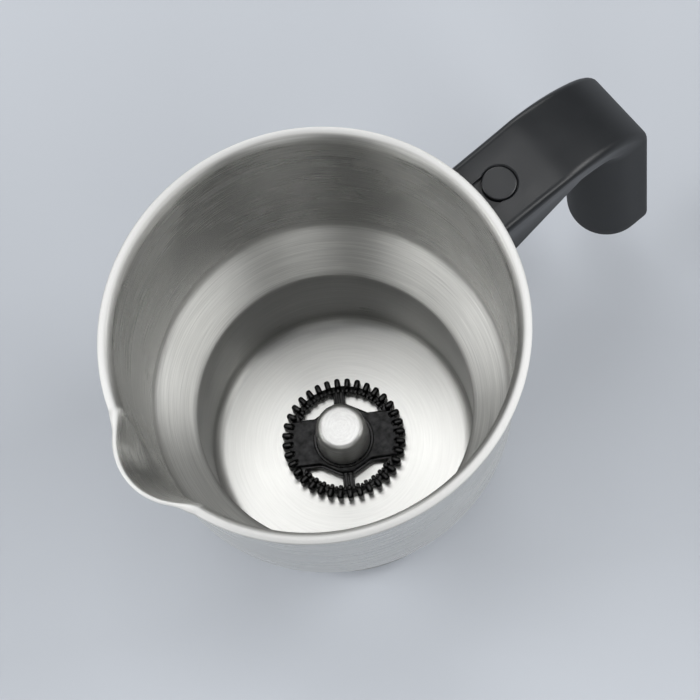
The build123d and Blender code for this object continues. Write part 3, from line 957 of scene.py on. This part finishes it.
# ---------------------------------------------------------------- the handle
@dataclass
class Handle:
    """The moulded handle: a strap that turns down into a D-shaped grip.

    Drops count down from the rim.  Each of its sections is set by an outer, a side and a middle
    point.  Those points follow curves round the bend, which leave and arrive with the pulls given
    here, in shares of each curve's chord.
    """

    rim_z: float
    wall_radius: Callable[[float], float]
    width: float = 23.8 * MM
    root_x: float = 50.0 * MM
    root_top_drop: float = 2.4 * MM
    root_height: float = 23.0 * MM
    root_foot_x: float = 55.1 * MM
    climb_x: float = 40.5 * MM
    strap_climb: float = 0.6 * MM
    bend_start: float = 76.0 * MM
    bend_end: float = 108.2 * MM
    bend_drop: float = 23.0 * MM
    throat_x: float = 83.0 * MM
    throat_drop: float = 9.4 * MM
    grip_depth: float = 19.0 * MM
    grip_lean: float = math.radians(4.0)
    grip_drop: float = 94.8 * MM
    long_edge: float = 2.2 * MM
    lower_edge: float = 0.8 * MM
    foot_edge: float = 2.6 * MM
    wall_gap: float = 0.3 * MM
    fixing_x: float = 63.8 * MM
    plug_radius: float = 4.7 * MM
    plug_thickness: float = 2.4 * MM
    plug_gap: float = 0.3 * MM
    plug_edge: float = 0.3 * MM
    plug_bevel_bend: float = 0.3
    slot_width: float = 9.0 * MM
    slot_depth: float = 1.4 * MM
    cutter_reach: float = 2.0 * MM
    wall_cutter_drop: float = 40.0 * MM
    wall_cutter_rise: float = 4.0 * MM
    outer_leaves: float = 1.1
    flank_leaves: Point = (1.2, -0.12)
    flank_arrives: float = 1.1
    middle_leaves: Point = (1.25, 0.02)
    middle_arrives: float = 1.9
    strap_steps: int = 16
    bend_steps: int = 32
    grip_steps: int = 20
    edge_steps: int = 6
    nose_steps: int = 16
    flat_share: float = 0.4
    flank_shares: tuple[float, ...] = (0.3, 0.6)
    matt_drop: float = 22.0 * MM
    least_edge: float = 0.1 * MM
    wall_segments: int = 360
    plug_segments: int = 96
    body_sharp_degrees: float = 35.0
    plug_sharp_degrees: float = 15.0

    @property
    def strap_slope(self) -> float:
        """Rise of the strap's upper face for each unit of its run."""
        return self.strap_climb / (self.bend_start - self.climb_x)

    def strap_z(self, x: float) -> float:
        """Height of the strap's upper face at some distance from the jug's axis."""
        run = self.bend_start - self.climb_x
        return self.rim_z - self.root_top_drop + self.strap_climb * (x - self.climb_x) / run

    @property
    def plug_top(self) -> float:
        """Height of the plug's face, level with the strap there."""
        return self.strap_z(self.fixing_x)

    @property
    def throat(self) -> Point:
        """Where the strap is thinnest, on its underside."""
        return (self.throat_x, self.rim_z - self.throat_drop)

    @property
    def matt_below(self) -> float:
        """Height under which the handle is fully matt."""
        return self.rim_z - self.matt_drop

    def edge_inset(self, radius: float, step: int) -> Point:
        """How far a rounding of some radius draws in, and what is left of its run, at one step."""
        turn = QUARTER_TURN * step / self.edge_steps
        return radius * (1 - math.cos(turn)), radius * (1 - math.sin(turn))

    def strap_stations(self) -> list[tuple[Point, Point, Point]]:
        """Outer, side and middle points of the strap's sections.

        Returns:
            A list from the root to the bend.
        """
        throat_x, throat_z = self.throat
        root_foot_z = self.rim_z - self.root_top_drop - self.root_height
        fall = (throat_z - root_foot_z) / (throat_x - self.root_foot_x)
        result = []
        for k in range(self.strap_steps):
            share = k / self.strap_steps
            outer = self.root_x + (self.bend_start - self.root_x) * share
            inner = self.root_x + (throat_x - self.root_x) * share
            low = (inner, throat_z - fall * (throat_x - inner))
            result.append(((outer, self.strap_z(outer)), low, low))
        return result

    def stations(self) -> list[Station]:
        """Outer, side and middle points of each section, in the XZ plane.

        Returns:
            A list from the root to the foot.
        """
        lean = (math.sin(self.grip_lean), -math.cos(self.grip_lean))
        depths = (0.0, self.grip_depth - self.width / 2, self.grip_depth)
        bend_z = self.rim_z - self.bend_drop
        start = (self.bend_start, self.strap_z(self.bend_start))
        back, flank, nose = ((self.bend_end - depth, bend_z) for depth in depths)
        bends = (
            (start, back, (self.outer_leaves, self.outer_leaves * self.strap_slope), 1.0),
            (self.throat, flank, self.flank_leaves, self.flank_arrives),
            (self.throat, nose, self.middle_leaves, self.middle_arrives),
        )
        result = self.strap_stations()
        for k in range(self.bend_steps + 1):
            share = k / self.bend_steps
            result.append(
                tuple(
                    hermite(first, last, leaves, (pull * lean[0], pull * lean[1]), share)
                    for first, last, leaves, pull in bends
                )
            )
        length = (bend_z - (self.rim_z - self.grip_drop)) / math.cos(self.grip_lean)
        runs = [length * k / self.grip_steps for k in range(1, self.grip_steps - 1)]
        runs += [length - self.edge_inset(self.foot_edge, k)[1] for k in range(self.edge_steps + 1)]
        for run in runs:
            x, z = self.bend_end + lean[0] * run, bend_z + lean[1] * run
            result.append(tuple((x - depth, z) for depth in depths))
        return [tuple(Vector((x, 0, z)) for x, z in station) for station in result]

    def section(self, station: Station, inset: float) -> list[Vector]:
        """One closed section through the handle.

        Args:
            station: its outer, side and middle points.
            inset: how far it is drawn in all round, near the foot.

        Returns:
            Its points, round the section.
        """
        outer, flank, middle = station
        half = self.width / 2 - inset
        inward = (flank - outer).normalized()
        bulge = middle - flank
        roundness = min(bulge.length / (self.width / 2), 1.0)
        edge = max(self.long_edge - inset, self.least_edge)
        lower = self.lower_edge * (1 - roundness)
        points = [(0.0, outer + inward * inset), (half * self.flat_share, outer + inward * inset)]
        for step in range(self.edge_steps + 1):
            sunk, left = self.edge_inset(edge, step)
            points.append((half - left, outer + inward * (inset + sunk)))
        straight = (flank - outer).length - 2 * inset - edge - lower
        points += [(half, outer + inward * (inset + edge + straight * share)) for share in self.flank_shares]
        for step in range(self.nose_steps + 1):
            turn = QUARTER_TURN * step / self.nose_steps
            across = half * math.cos(turn)
            over = max(across - (half - lower), 0.0)
            fall = lower - math.sqrt(max(lower**2 - over**2, 0.0)) if lower > 0 else 0.0
            place = flank + bulge * math.sin(turn) - inward * fall
            if bulge.length > 0:
                place -= bulge.normalized() * inset * math.sin(turn)
            points.append((across, place))
        right = [Vector((p.x, y, p.z)) for y, p in points]
        left_side = [Vector((p.x, -y, p.z)) for y, p in reversed(points[1:-1])]
        return right + left_side

    def wall_cutter(self) -> bpy.types.Object:
        """Round block that keeps the handle clear of the jug's wall.

        Returns:
            The new object.
        """
        low, high = self.rim_z - self.wall_cutter_drop, self.rim_z + self.wall_cutter_rise
        profile = (
            (0.0, low),
            (self.wall_radius(low) + self.wall_gap, low),
            (self.wall_radius(high) + self.wall_gap, high),
            (0.0, high),
        )
        return revolved("wall_cutter", profile, self.wall_segments)

    def seat_cutter(self) -> bpy.types.Object:
        """Round block that sinks the plug's seat, bevelled at its mouth.

        Returns:
            The new object.
        """
        radius = self.plug_radius + self.plug_gap
        bottom, top = self.plug_top - self.plug_thickness, self.plug_top + self.cutter_reach
        profile = (
            (0.0, bottom),
            (radius, bottom),
            (radius, self.plug_top - self.plug_edge),
            (radius + self.plug_edge + self.cutter_reach, top),
            (0.0, top),
        )
        piece = revolved("seat_cutter", profile, self.plug_segments)
        piece.data.transform(Matrix.Translation((self.fixing_x, 0, 0)))
        return piece

    def slot_cutter(self) -> bpy.types.Object:
        """Block that sinks the channel from the root to the plug.

        Returns:
            The new object.
        """
        high = self.rim_z + self.cutter_reach
        run = self.fixing_x - self.root_x + self.cutter_reach
        middle = (self.fixing_x - run / 2, 0, (high + self.plug_top - self.slot_depth) / 2)
        sizes = (run, self.slot_width, high - self.plug_top + self.slot_depth, 1)
        mesh = bmesh.new()
        bmesh.ops.create_cube(mesh, size=1.0)
        mesh.transform(Matrix.Translation(middle) @ Matrix.Diagonal(sizes))
        return object_from("slot_cutter", mesh)

    def body(self) -> bpy.types.Object:
        """Builds the handle with its plug's seat and the channel behind it.

        Returns:
            The new object.
        """
        stations = self.stations()
        foot = len(stations) - (self.edge_steps + 1)
        insets = [self.edge_inset(self.foot_edge, max(k - foot, 0))[0] for k in range(len(stations))]
        rows = [self.section(station, inset) for station, inset in zip(stations, insets)]
        piece = grid_mesh("handle_skin", rows, caps=True)
        cutters = (self.seat_cutter(), self.slot_cutter(), self.wall_cutter())
        for cutter in cutters:
            cut = piece.modifiers.new("cut", "BOOLEAN")
            cut.object = cutter
            cut.operation = "DIFFERENCE"
            cut.solver = "EXACT"
        bake(piece)
        for cutter in cutters:
            bpy.data.objects.remove(cutter)
        crisp(piece, self.body_sharp_degrees)
        return piece

    def plug(self) -> bpy.types.Object:
        """Builds the round plug that covers the screw.

        Returns:
            The new object.
        """
        bottom, bevel = self.plug_top - self.plug_thickness, self.plug_edge
        half_way = self.plug_bevel_bend * bevel
        profile = (
            (0.0, bottom),
            (self.plug_radius, bottom),
            (self.plug_radius, self.plug_top - bevel),
            (self.plug_radius - half_way, self.plug_top - half_way),
            (self.plug_radius - bevel, self.plug_top),
            (0.0, self.plug_top),
        )
        piece = revolved("screw_plug_skin", profile, self.plug_segments)
        piece.data.transform(Matrix.Translation((self.fixing_x, 0, 0)))
        crisp(piece, self.plug_sharp_degrees)
        return piece

    def place(self, finishes: Finishes) -> None:
        """Puts the dressed handle and its plug in their places."""
        stand_in(self.body(), "handle_body", Body.JUG, Slot.HANDLE_PLASTIC, finishes)
        stand_in(self.plug(), "screw_plug", Body.JUG, Slot.HANDLE_PLASTIC, finishes)


# ---------------------------------------------------------------- spindle, base cap and bush
@dataclass
class Spindle:
    """The drawn steel spindle on the floor, with its welded foot."""

    floor_z: float
    radius: float = 8.2 * MM
    straight: float = 7.0 * MM
    top_radius: float = 7.5 * MM
    height: float = 20.0 * MM
    edge: float = 2.0 * MM
    foot_radius: float = 9.8 * MM
    foot_thickness: float = 0.5 * MM
    foot_edge: float = 0.15 * MM
    side_end: float = 4.0 * MM
    satin_start: float = 0.6 * MM

    @property
    def bands(self) -> tuple[Band, ...]:
        """The finish from the bright side up to the satin top."""
        top = self.floor_z + self.height
        return (Band(top - self.side_end, 0.52, 0.01), Band(top - self.satin_start, 0.38, 0.02))

    def build(self) -> bpy.types.Object:
        """Builds the spindle as one turned skin.

        Returns:
            The new object.
        """
        foot_top, top = self.floor_z + self.foot_thickness, self.floor_z + self.height
        corners = (
            (0.0, self.floor_z),
            (self.foot_radius, self.floor_z),
            (self.foot_radius, foot_top),
            (self.radius, foot_top),
            (self.radius, self.floor_z + self.straight),
            (self.top_radius, top),
            (0.0, top),
        )
        return revolved("spindle_skin", rounded_path(corners, (0, self.foot_edge, 0, 0, self.edge)))

    def place(self, finishes: Finishes) -> None:
        """Puts the dressed spindle in its place."""
        stand_in(self.build(), "spindle", Body.JUG, Slot.SPINDLE_STEEL, finishes)


@dataclass
class BaseCap:
    """The induction cap under the jug."""

    underside_z: float = 4.2 * MM
    radius: float = 36.8 * MM
    edge: float = 1.6 * MM
    thickness: float = 0.8 * MM

    def build(self) -> bpy.types.Object:
        """Builds the cap as one turned skin, open towards the jug.

        Returns:
            The new object.
        """
        inner = self.radius - self.thickness
        corners = (
            (0.0, self.thickness),
            (inner, self.thickness),
            (inner, self.underside_z),
            (self.radius, self.underside_z),
            (self.radius, 0.0),
            (0.0, 0.0),
        )
        radii = (self.edge - self.thickness, 0, 0, self.edge)
        return revolved("base_cap_skin", rounded_path(corners, radii))

    def place(self, finishes: Finishes) -> None:
        """Puts the dressed cap in its place."""
        stand_in(self.build(), "base_cap", Body.JUG, Slot.BASE_STEEL, finishes)


@dataclass
class Bush:
    """The flanged bush that the whisk turns on."""

    floor_z: float
    inner: float = 8.25 * MM
    outer: float = 9.25 * MM
    flange: float = 10.35 * MM
    lift: float = 0.6 * MM
    flange_thickness: float = 0.7 * MM
    flange_edge: float = 0.1 * MM
    top_lift: float = 5.4 * MM
    top_edge: float = 0.2 * MM
    bore_edge: float = 0.3 * MM

    def build(self) -> bpy.types.Object:
        """Builds the bush as one turned skin.

        Returns:
            The new object.
        """
        low, high = self.floor_z + self.lift, self.floor_z + self.top_lift
        step = low + self.flange_thickness
        middle = (low + high) / 2
        corners = (
            (self.inner, middle),
            (self.inner, low),
            (self.flange, low),
            (self.flange, step),
            (self.outer, step),
            (self.outer, high),
            (self.inner, high),
            (self.inner, middle),
        )
        radii = (0, self.flange_edge, self.flange_edge, 0, self.top_edge, self.bore_edge)
        return revolved("hub_bush_skin", rounded_path(corners, radii))

    def place(self, finishes: Finishes) -> None:
        """Puts the dressed bush in its place."""
        stand_in(self.build(), "hub_bush", Body.BUSH, Slot.BUSH_PLASTIC, finishes)


# ---------------------------------------------------------------- the whisk
@dataclass(frozen=True)
class Pad:
    """A small upright block with round corners and a round top edge."""

    length: float
    width: float
    top_lift: float
    corner: float
    edge: float
    foot_lift: float = 1.4 * MM
    steps: int = 4

    def outline(self, height: float, inset: float) -> list[Vector]:
        """Its outline at one height.

        Args:
            height: height of the outline.
            inset: how far it is drawn in all round.

        Returns:
            The outline's points.
        """
        radius = max(self.corner - inset, LEAST_RADIUS)
        points = []
        for quarter, (side_x, side_y) in enumerate(((1, 1), (-1, 1), (-1, -1), (1, -1))):
            middle_x = side_x * (self.length / 2 - inset - radius)
            middle_y = side_y * (self.width / 2 - inset - radius)
            for step in range(self.steps + 1):
                turn = QUARTER_TURN * (quarter + step / self.steps)
                x, y = middle_x + radius * math.cos(turn), middle_y + radius * math.sin(turn)
                points.append(Vector((x, y, height)))
        return points

    def build(self, floor_z: float) -> bpy.types.Object:
        """Builds the block round the axis.

        Args:
            floor_z: height of the jug's inside floor, which its lifts count from.

        Returns:
            The new object.
        """
        top = floor_z + self.top_lift
        rows = [self.outline(floor_z + self.foot_lift, 0.0)]
        for step in range(self.steps + 1):
            turn = QUARTER_TURN * step / self.steps
            height, inset = top - self.edge * (1 - math.sin(turn)), self.edge * (1 - math.cos(turn))
            rows.append(self.outline(height, inset))
        return grid_mesh("pad", rows, caps=True)


@dataclass(frozen=True)
class Row:
    """Copies of one pad, side by side round the axis."""

    pad: Pad
    count: int
    radius: float
    first_angle: float
    aside: float = 0.0


@dataclass
class Whisk:
    """The magnetic whisk: a ring of upright bars on a web, and the cover over its magnets.

    Lifts count up from the jug's inside floor, and reaches from the axis.
    """

    floor_z: float
    angle: float = math.radians(-33.0)
    bar_count: int = 36
    bar_outer: float = 19.1 * MM
    bar: Pad = Pad(3.1 * MM, 1.75 * MM, 5.7 * MM, corner=0.75 * MM, edge=0.6 * MM, foot_lift=0.5 * MM)
    web_lift: float = 1.4 * MM
    web_top_lift: float = 3.3 * MM
    web_edge: float = 0.2 * MM
    ring_inner: float = 15.3 * MM
    ring_outer: float = 17.2 * MM
    bore: float = 9.3 * MM
    spoke_width: float = 3.6 * MM
    hub_reach: float = 10.4 * MM
    window_steps: int = 16
    corner_steps: int = 4
    window_corner: float = 0.4 * MM
    window_wing_corner: float = 1.0 * MM
    window_hub_corner: float = 0.3 * MM
    wing_inner: float = 8.0 * MM
    wing_half_width: float = 6.85 * MM
    wing_end: float = 17.1 * MM
    wing_root_corner: float = 0.5 * MM
    wing_corner: float = 0.8 * MM
    tray_flange: float = 0.9 * MM
    notch_inner: float = 15.5 * MM
    notch_width: float = 1.9 * MM
    notch_corner: float = 0.7 * MM
    notch_mouth: float = 0.2 * MM
    notch_places: tuple[int, ...] = (2, 1, 0, -1, -2)
    cover_top_lift: float = 5.2 * MM
    cover_edge: float = 0.22 * MM
    finger_count: int = 11
    finger: Pad = Pad(1.7 * MM, 1.3 * MM, 4.7 * MM, corner=0.5 * MM, edge=0.4 * MM)
    finger_sink: float = 0.15 * MM
    rib: Pad = Pad(1.3 * MM, 0.9 * MM, 4.0 * MM, corner=0.3 * MM, edge=0.25 * MM)
    rib_sink: float = 0.25 * MM
    rail: Pad = Pad(4.9 * MM, 0.7 * MM, 3.9 * MM, corner=0.2 * MM, edge=0.2 * MM)
    ridge: Pad = Pad(4.9 * MM, 0.9 * MM, 4.4 * MM, corner=0.3 * MM, edge=0.3 * MM)

    @property
    def bar_turn(self) -> float:
        """Angle from one bar to the next."""
        return FULL_TURN / self.bar_count

    def window(self, side_x: int, side_y: int) -> list[Point]:
        """Outline of one of the four openings between ring, spoke and wing.

        Args:
            side_x: 1 or -1, its side of the spokes.
            side_y: 1 or -1, its side of the wings.

        Returns:
            The outline's points.
        """
        half_spoke = self.spoke_width / 2
        wing = self.wing_half_width + self.tray_flange
        slope = (self.hub_reach - self.wing_half_width) / (self.wing_inner - half_spoke)
        spoke_root = self.hub_reach + self.tray_flange * math.hypot(1, slope)
        wing_root = half_spoke + (spoke_root - wing) / slope
        first = math.acos(half_spoke / self.ring_inner)
        last = math.asin(wing / self.ring_inner)
        turns = [first + (last - first) * k / self.window_steps for k in range(self.window_steps + 1)]
        arc = [(self.ring_inner * math.cos(turn), self.ring_inner * math.sin(turn)) for turn in turns]
        start = (half_spoke, (spoke_root + arc[0][1]) / 2)
        corners = [start, *arc, (wing_root, wing), (half_spoke, spoke_root), start]
        along_arc = [0.0] * (self.window_steps - 1)
        radii = [self.window_corner, *along_arc, self.window_corner]
        radii += [self.window_wing_corner, self.window_hub_corner]
        return [(x * side_x, y * side_y) for x, y in rounded_path(corners, radii, self.corner_steps)[:-1]]

    def wing_path(self) -> tuple[list[Point], list[float]]:
        """Half of the cover's outline, from one spoke's root round a wing to the other.

        Returns:
            Its corners, and the radius of each.
        """
        half_notch = self.notch_width / 2
        mouth = math.sqrt(self.wing_end**2 - half_notch**2)
        end_x = self.wing_end * math.cos(math.asin(self.wing_half_width / self.wing_end))
        into = [
            (self.spoke_width / 2, self.hub_reach, self.wing_root_corner),
            (self.wing_inner, self.wing_half_width, self.wing_corner),
            (end_x, self.wing_half_width, 0.0),
        ]
        path = list(into)
        for place in self.notch_places:
            way = Vector((math.cos(place * self.bar_turn), math.sin(place * self.bar_turn)))
            side = Vector((-way.y, way.x)) * half_notch
            mouth_edge = 0.0 if abs(place) == max(self.notch_places) else self.notch_mouth
            for reach, across, radius in (
                (mouth, side, mouth_edge),
                (self.notch_inner, side, self.notch_corner),
                (self.notch_inner, -side, self.notch_corner),
                (mouth, -side, mouth_edge),
            ):
                spot = way * reach + across
                path.append((spot.x, spot.y, radius))
        path += [(x, -y, radius) for x, y, radius in reversed(into)]
        return [(x, y) for x, y, _ in path], [radius for _, _, radius in path]

    def rows(self) -> list[Row]:
        """The row of bars, and those of the fingers, ribs, ridges and rails on both sides.

        Returns:
            The rows.
        """
        rows = [Row(self.bar, self.bar_count, self.bar_outer - self.bar.length / 2, 0.0)]
        spoke_middle = self.hub_reach + self.rail.length / 2
        half_rail = (self.spoke_width - self.rail.width) / 2
        for side in (0.0, math.pi):
            middle = side + QUARTER_TURN
            for pad, count, radius in (
                (self.finger, self.finger_count, self.ring_inner + self.finger_sink),
                (self.rib, self.finger_count + 1, self.ring_inner + self.rib_sink),
            ):
                rows.append(Row(pad, count, radius, middle - (count - 1) * self.bar_turn / 2))
            for pad, aside in ((self.ridge, 0.0), (self.rail, half_rail), (self.rail, -half_rail)):
                rows.append(Row(pad, 1, spoke_middle, middle, aside))
        return rows

    def frame(self, material: bpy.types.Material) -> bpy.types.Object:
        """Builds the web with its bars, fingers, ribs, ridges and rails.

        Args:
            material: the frame's finish.

        Returns:
            The new object.
        """
        outlines = [ring_of(self.ring_outer), ring_of(self.bore)]
        outlines += [self.window(x, y) for x in (1, -1) for y in (1, -1)]
        low, high = self.floor_z + self.web_lift, self.floor_z + self.web_top_lift
        piece = plate_from("whisk_frame_skin", outlines, low, high, self.web_edge)
        tree = arc_row_tree()
        rows = self.rows()
        shapes = {pad: pad.build(self.floor_z) for pad in dict.fromkeys(row.pad for row in rows)}
        for row in rows:
            add_row(
                piece,
                tree,
                shape=shapes[row.pad],
                count=row.count,
                radius=row.radius,
                first_angle=row.first_angle,
                step_angle=self.bar_turn,
                aside=row.aside,
                material=material,
            )
        bake(piece)
        for shape in shapes.values():
            bpy.data.objects.remove(shape)
        piece.data.transform(Matrix.Rotation(self.angle, 4, "Z"))
        return piece

    def cover(self) -> bpy.types.Object:
        """Builds the cover plate over the magnets.

        Returns:
            The new object.
        """
        points, radii = self.wing_path()
        start = (0.0, self.hub_reach)
        corners = [start, *points, *[(-x, -y) for x, y in points], start]
        outline = rounded_path(corners, [*radii, *radii], self.corner_steps)[:-1]
        low, high = self.floor_z + self.web_top_lift, self.floor_z + self.cover_top_lift
        piece = plate_from("whisk_plate_skin", [outline, ring_of(self.bore)], low, high, self.cover_edge)
        piece.data.transform(Matrix.Rotation(self.angle, 4, "Z"))
        return piece

    def place(self, finishes: Finishes) -> None:
        """Puts the dressed frame and cover in their places.

        Args:
            finishes: the materials by their slots.
        """
        frame = self.frame(finishes[Slot.FRAME_PLASTIC])
        stand_in(frame, "whisk_frame", Body.WHISK, Slot.FRAME_PLASTIC, finishes)
        stand_in(self.cover(), "whisk_plate", Body.WHISK, Slot.PLATE_PLASTIC, finishes)


# ---------------------------------------------------------------- pieces that keep their solid's mesh
@dataclass
class InnerParts:
    """The heat core, the handle's fixing and the magnets, which the other pieces hide."""

    nodes: dict[str, bpy.types.Object]

    def place(self, finishes: Finishes) -> None:
        """Dresses each solid where it stands.

        Args:
            finishes: the materials by their slots.
        """
        for name, slot in (
            ("heat_core", Slot.CORE_ALUMINIUM),
            ("handle_bracket", Slot.BRACKET_STEEL),
            ("bracket_nut", Slot.FASTENER_STEEL),
            ("handle_screw", Slot.FASTENER_STEEL),
            ("lock_washer", Slot.FASTENER_STEEL),
            ("magnet_left", Slot.MAGNET_NICKEL),
            ("magnet_right", Slot.MAGNET_NICKEL),
        ):
            dress(self.nodes[name], finishes[slot])
            LOG.info("%s: %s", name, slot.value)


# ---------------------------------------------------------------- the object's finishes
def make_finishes(shell: JugShell, spindle: Spindle, handle: Handle) -> Finishes:
    """Makes every material of the object.

    Args:
        shell: the jug's shell, whose heights its finish follows.
        spindle: the spindle, whose heights its finish follows.
        handle: the handle, whose heights its finish follows.

    Returns:
        The materials by their slots.
    """
    metals = (
        BrushedMetal(
            Slot.SHELL_STEEL,
            (0.735, 0.735, 0.715),
            shell.bands[0].roughness,
            anisotropy=0.9,
            line_height=0.0006 * MM,
            bands=shell.bands,
            satin_above=shell.flare_top,
        ),
        BrushedMetal(Slot.BASE_STEEL, (0.55, 0.55, 0.55), 0.35, line_spacing=0.8 * MM),
        BrushedMetal(
            Slot.SPINDLE_STEEL,
            (0.74, 0.74, 0.73),
            spindle.bands[0].roughness,
            anisotropy=0.4,
            line_height=0.0015 * MM,
            bands=spindle.bands,
        ),
        BrushedMetal(Slot.CORE_ALUMINIUM, (0.80, 0.81, 0.82), 0.45),
        BrushedMetal(Slot.BRACKET_STEEL, (0.60, 0.60, 0.60), 0.4),
        BrushedMetal(Slot.FASTENER_STEEL, (0.65, 0.65, 0.66), 0.25),
        BrushedMetal(Slot.MAGNET_NICKEL, (0.66, 0.62, 0.56), 0.2),
    )
    plastics = (
        MouldedPlastic(
            Slot.HANDLE_PLASTIC,
            (0.016, 0.0175, 0.0195),
            0.34,
            specular=0.42,
            matt_below=handle.matt_below,
        ),
        MouldedPlastic(Slot.FRAME_PLASTIC, (0.003, 0.003, 0.003), 0.22, specular=0.22),
        MouldedPlastic(
            Slot.PLATE_PLASTIC, (0.085, 0.085, 0.088), 0.5, 0.1, specular=0.12, patch=2 * MM, shade_swing=0.65
        ),
        MouldedPlastic(Slot.BUSH_PLASTIC, (0.004, 0.004, 0.004), 0.3, specular=0.3),
    )
    lines, grain = turning_lines_group(), moulded_grain_group()
    finishes = {metal.slot: metal.build(lines) for metal in metals}
    finishes.update({plastic.slot: plastic.build(grain) for plastic in plastics})
    return finishes


# ---------------------------------------------------------------- stage
@dataclass(frozen=True)
class Softbox:
    """A rectangular soft light that hangs round the jug; its directions are in degrees."""

    name: str
    azimuth: float
    elevation: float
    width: float
    power: float
    height: float = 0.45
    distance: float = 1.5
    aim_z: float = 0.1

    def hang(self) -> None:
        """Hangs the light, facing the middle of the jug."""
        turn, rise = math.radians(self.azimuth), math.radians(self.elevation)
        out = self.distance * math.cos(rise)
        up = self.aim_z + self.distance * math.sin(rise)
        place = Vector((out * math.cos(turn), out * math.sin(turn), up))
        data = bpy.data.lights.new(self.name, "AREA")
        data.shape = "RECTANGLE"
        data.size, data.size_y = self.width, self.height
        data.energy = self.power
        light = bpy.data.objects.new(self.name, data)
        light.location = place
        ahead = Vector((0, 0, self.aim_z)) - place
        light.rotation_euler = ahead.to_track_quat("-Z", "Y").to_euler()
        bpy.context.scene.collection.objects.link(light)


@dataclass
class Studio:
    """Floor, soft lights and camera."""

    camera_place: tuple[float, float, float] = (-0.0770, -0.1690, 0.7431)
    camera_elevation: float = math.radians(73.82)
    camera_azimuth: float = math.radians(27.0)
    camera_roll: float = math.radians(-13.154)
    camera_lens: float = 126.0
    sensor_width: float = 36.0
    farthest: float = 20.0
    floor_size: float = 3.0
    floor_colour: Colour = (0.54, 0.57, 0.615)
    floor_roughness: float = 0.9
    floor_specular: float = 0.2
    air_colour: Colour = (0.95, 0.97, 1.0)
    air_strength: float = 0.12
    softboxes: tuple[Softbox, ...] = (
        Softbox("left_box", 141.0, 45.0, 0.55, 6.6),
        Softbox("left_wide_box", 176.0, 42.0, 1.0, 5.8),
        Softbox("right_box", -22.0, 45.0, 0.55, 6.6),
        Softbox("right_wide_box", -65.0, 45.0, 1.0, 6.8),
        Softbox("near_box", -120.0, 36.0, 0.5, 2.0),
        Softbox("far_box", 60.0, 28.0, 1.0, 4.6),
        Softbox("top_box", 63.0, 78.0, 0.55, 3.3),
    )

    def camera(self) -> None:
        """Places the camera and makes it the scene's own."""
        azimuth, elevation, roll = self.camera_azimuth, self.camera_elevation, self.camera_roll
        level = math.cos(elevation)
        ahead = Vector((math.sin(azimuth) * level, math.cos(azimuth) * level, -math.sin(elevation)))
        right = Vector((math.cos(azimuth), -math.sin(azimuth), 0))
        up = right.cross(ahead)
        across = right * math.cos(roll) + up * math.sin(roll)
        upright = up * math.cos(roll) - right * math.sin(roll)
        data = bpy.data.cameras.new("camera")
        data.lens = self.camera_lens
        data.sensor_width = self.sensor_width
        data.clip_end = self.farthest
        camera = bpy.data.objects.new("camera", data)
        turn = Matrix((across, upright, -ahead)).transposed()
        camera.matrix_world = Matrix.Translation(self.camera_place) @ turn.to_4x4()
        bpy.context.scene.collection.objects.link(camera)
        bpy.context.scene.camera = camera

    def floor(self) -> None:
        """Lays the pale floor."""
        mesh = bmesh.new()
        bmesh.ops.create_grid(mesh, x_segments=2, y_segments=2, size=self.floor_size)
        piece = object_from("floor", mesh)
        shader = Shader("pale_floor")
        shader.set("Base Color", (*self.floor_colour, 1))
        shader.set("Roughness", self.floor_roughness)
        shader.set("Specular IOR Level", self.floor_specular)
        dress(piece, shader.material)

    def air(self) -> None:
        """Sets the even light from all round."""
        world = bpy.data.worlds.new("studio")
        bpy.context.scene.world = world
        world.use_nodes = True
        background = world.node_tree.nodes["Background"]
        background.inputs["Color"].default_value = (*self.air_colour, 1)
        background.inputs["Strength"].default_value = self.air_strength

    def build(self) -> None:
        """Sets the whole stage."""
        self.camera()
        self.floor()
        self.air()
        for softbox in self.softboxes:
            softbox.hang()
        bpy.context.scene.view_settings.view_transform = "Standard"


def main() -> None:
    """Builds the jug, dresses its frame and sets the stage."""
    logging.basicConfig(level=logging.INFO, format="%(message)s")
    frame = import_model()
    shell = JugShell()
    spindle = Spindle(shell.floor_z)
    handle = Handle(shell.rim_z, shell.outside_radius)
    finishes = make_finishes(shell, spindle, handle)
    for assembly in (
        InnerParts(frame["nodes"]),
        shell,
        BaseCap(),
        spindle,
        handle,
        Bush(shell.floor_z),
        Whisk(shell.floor_z),
    ):
        assembly.place(finishes)
    Studio().build()


if __name__ == "__main__":
    main()
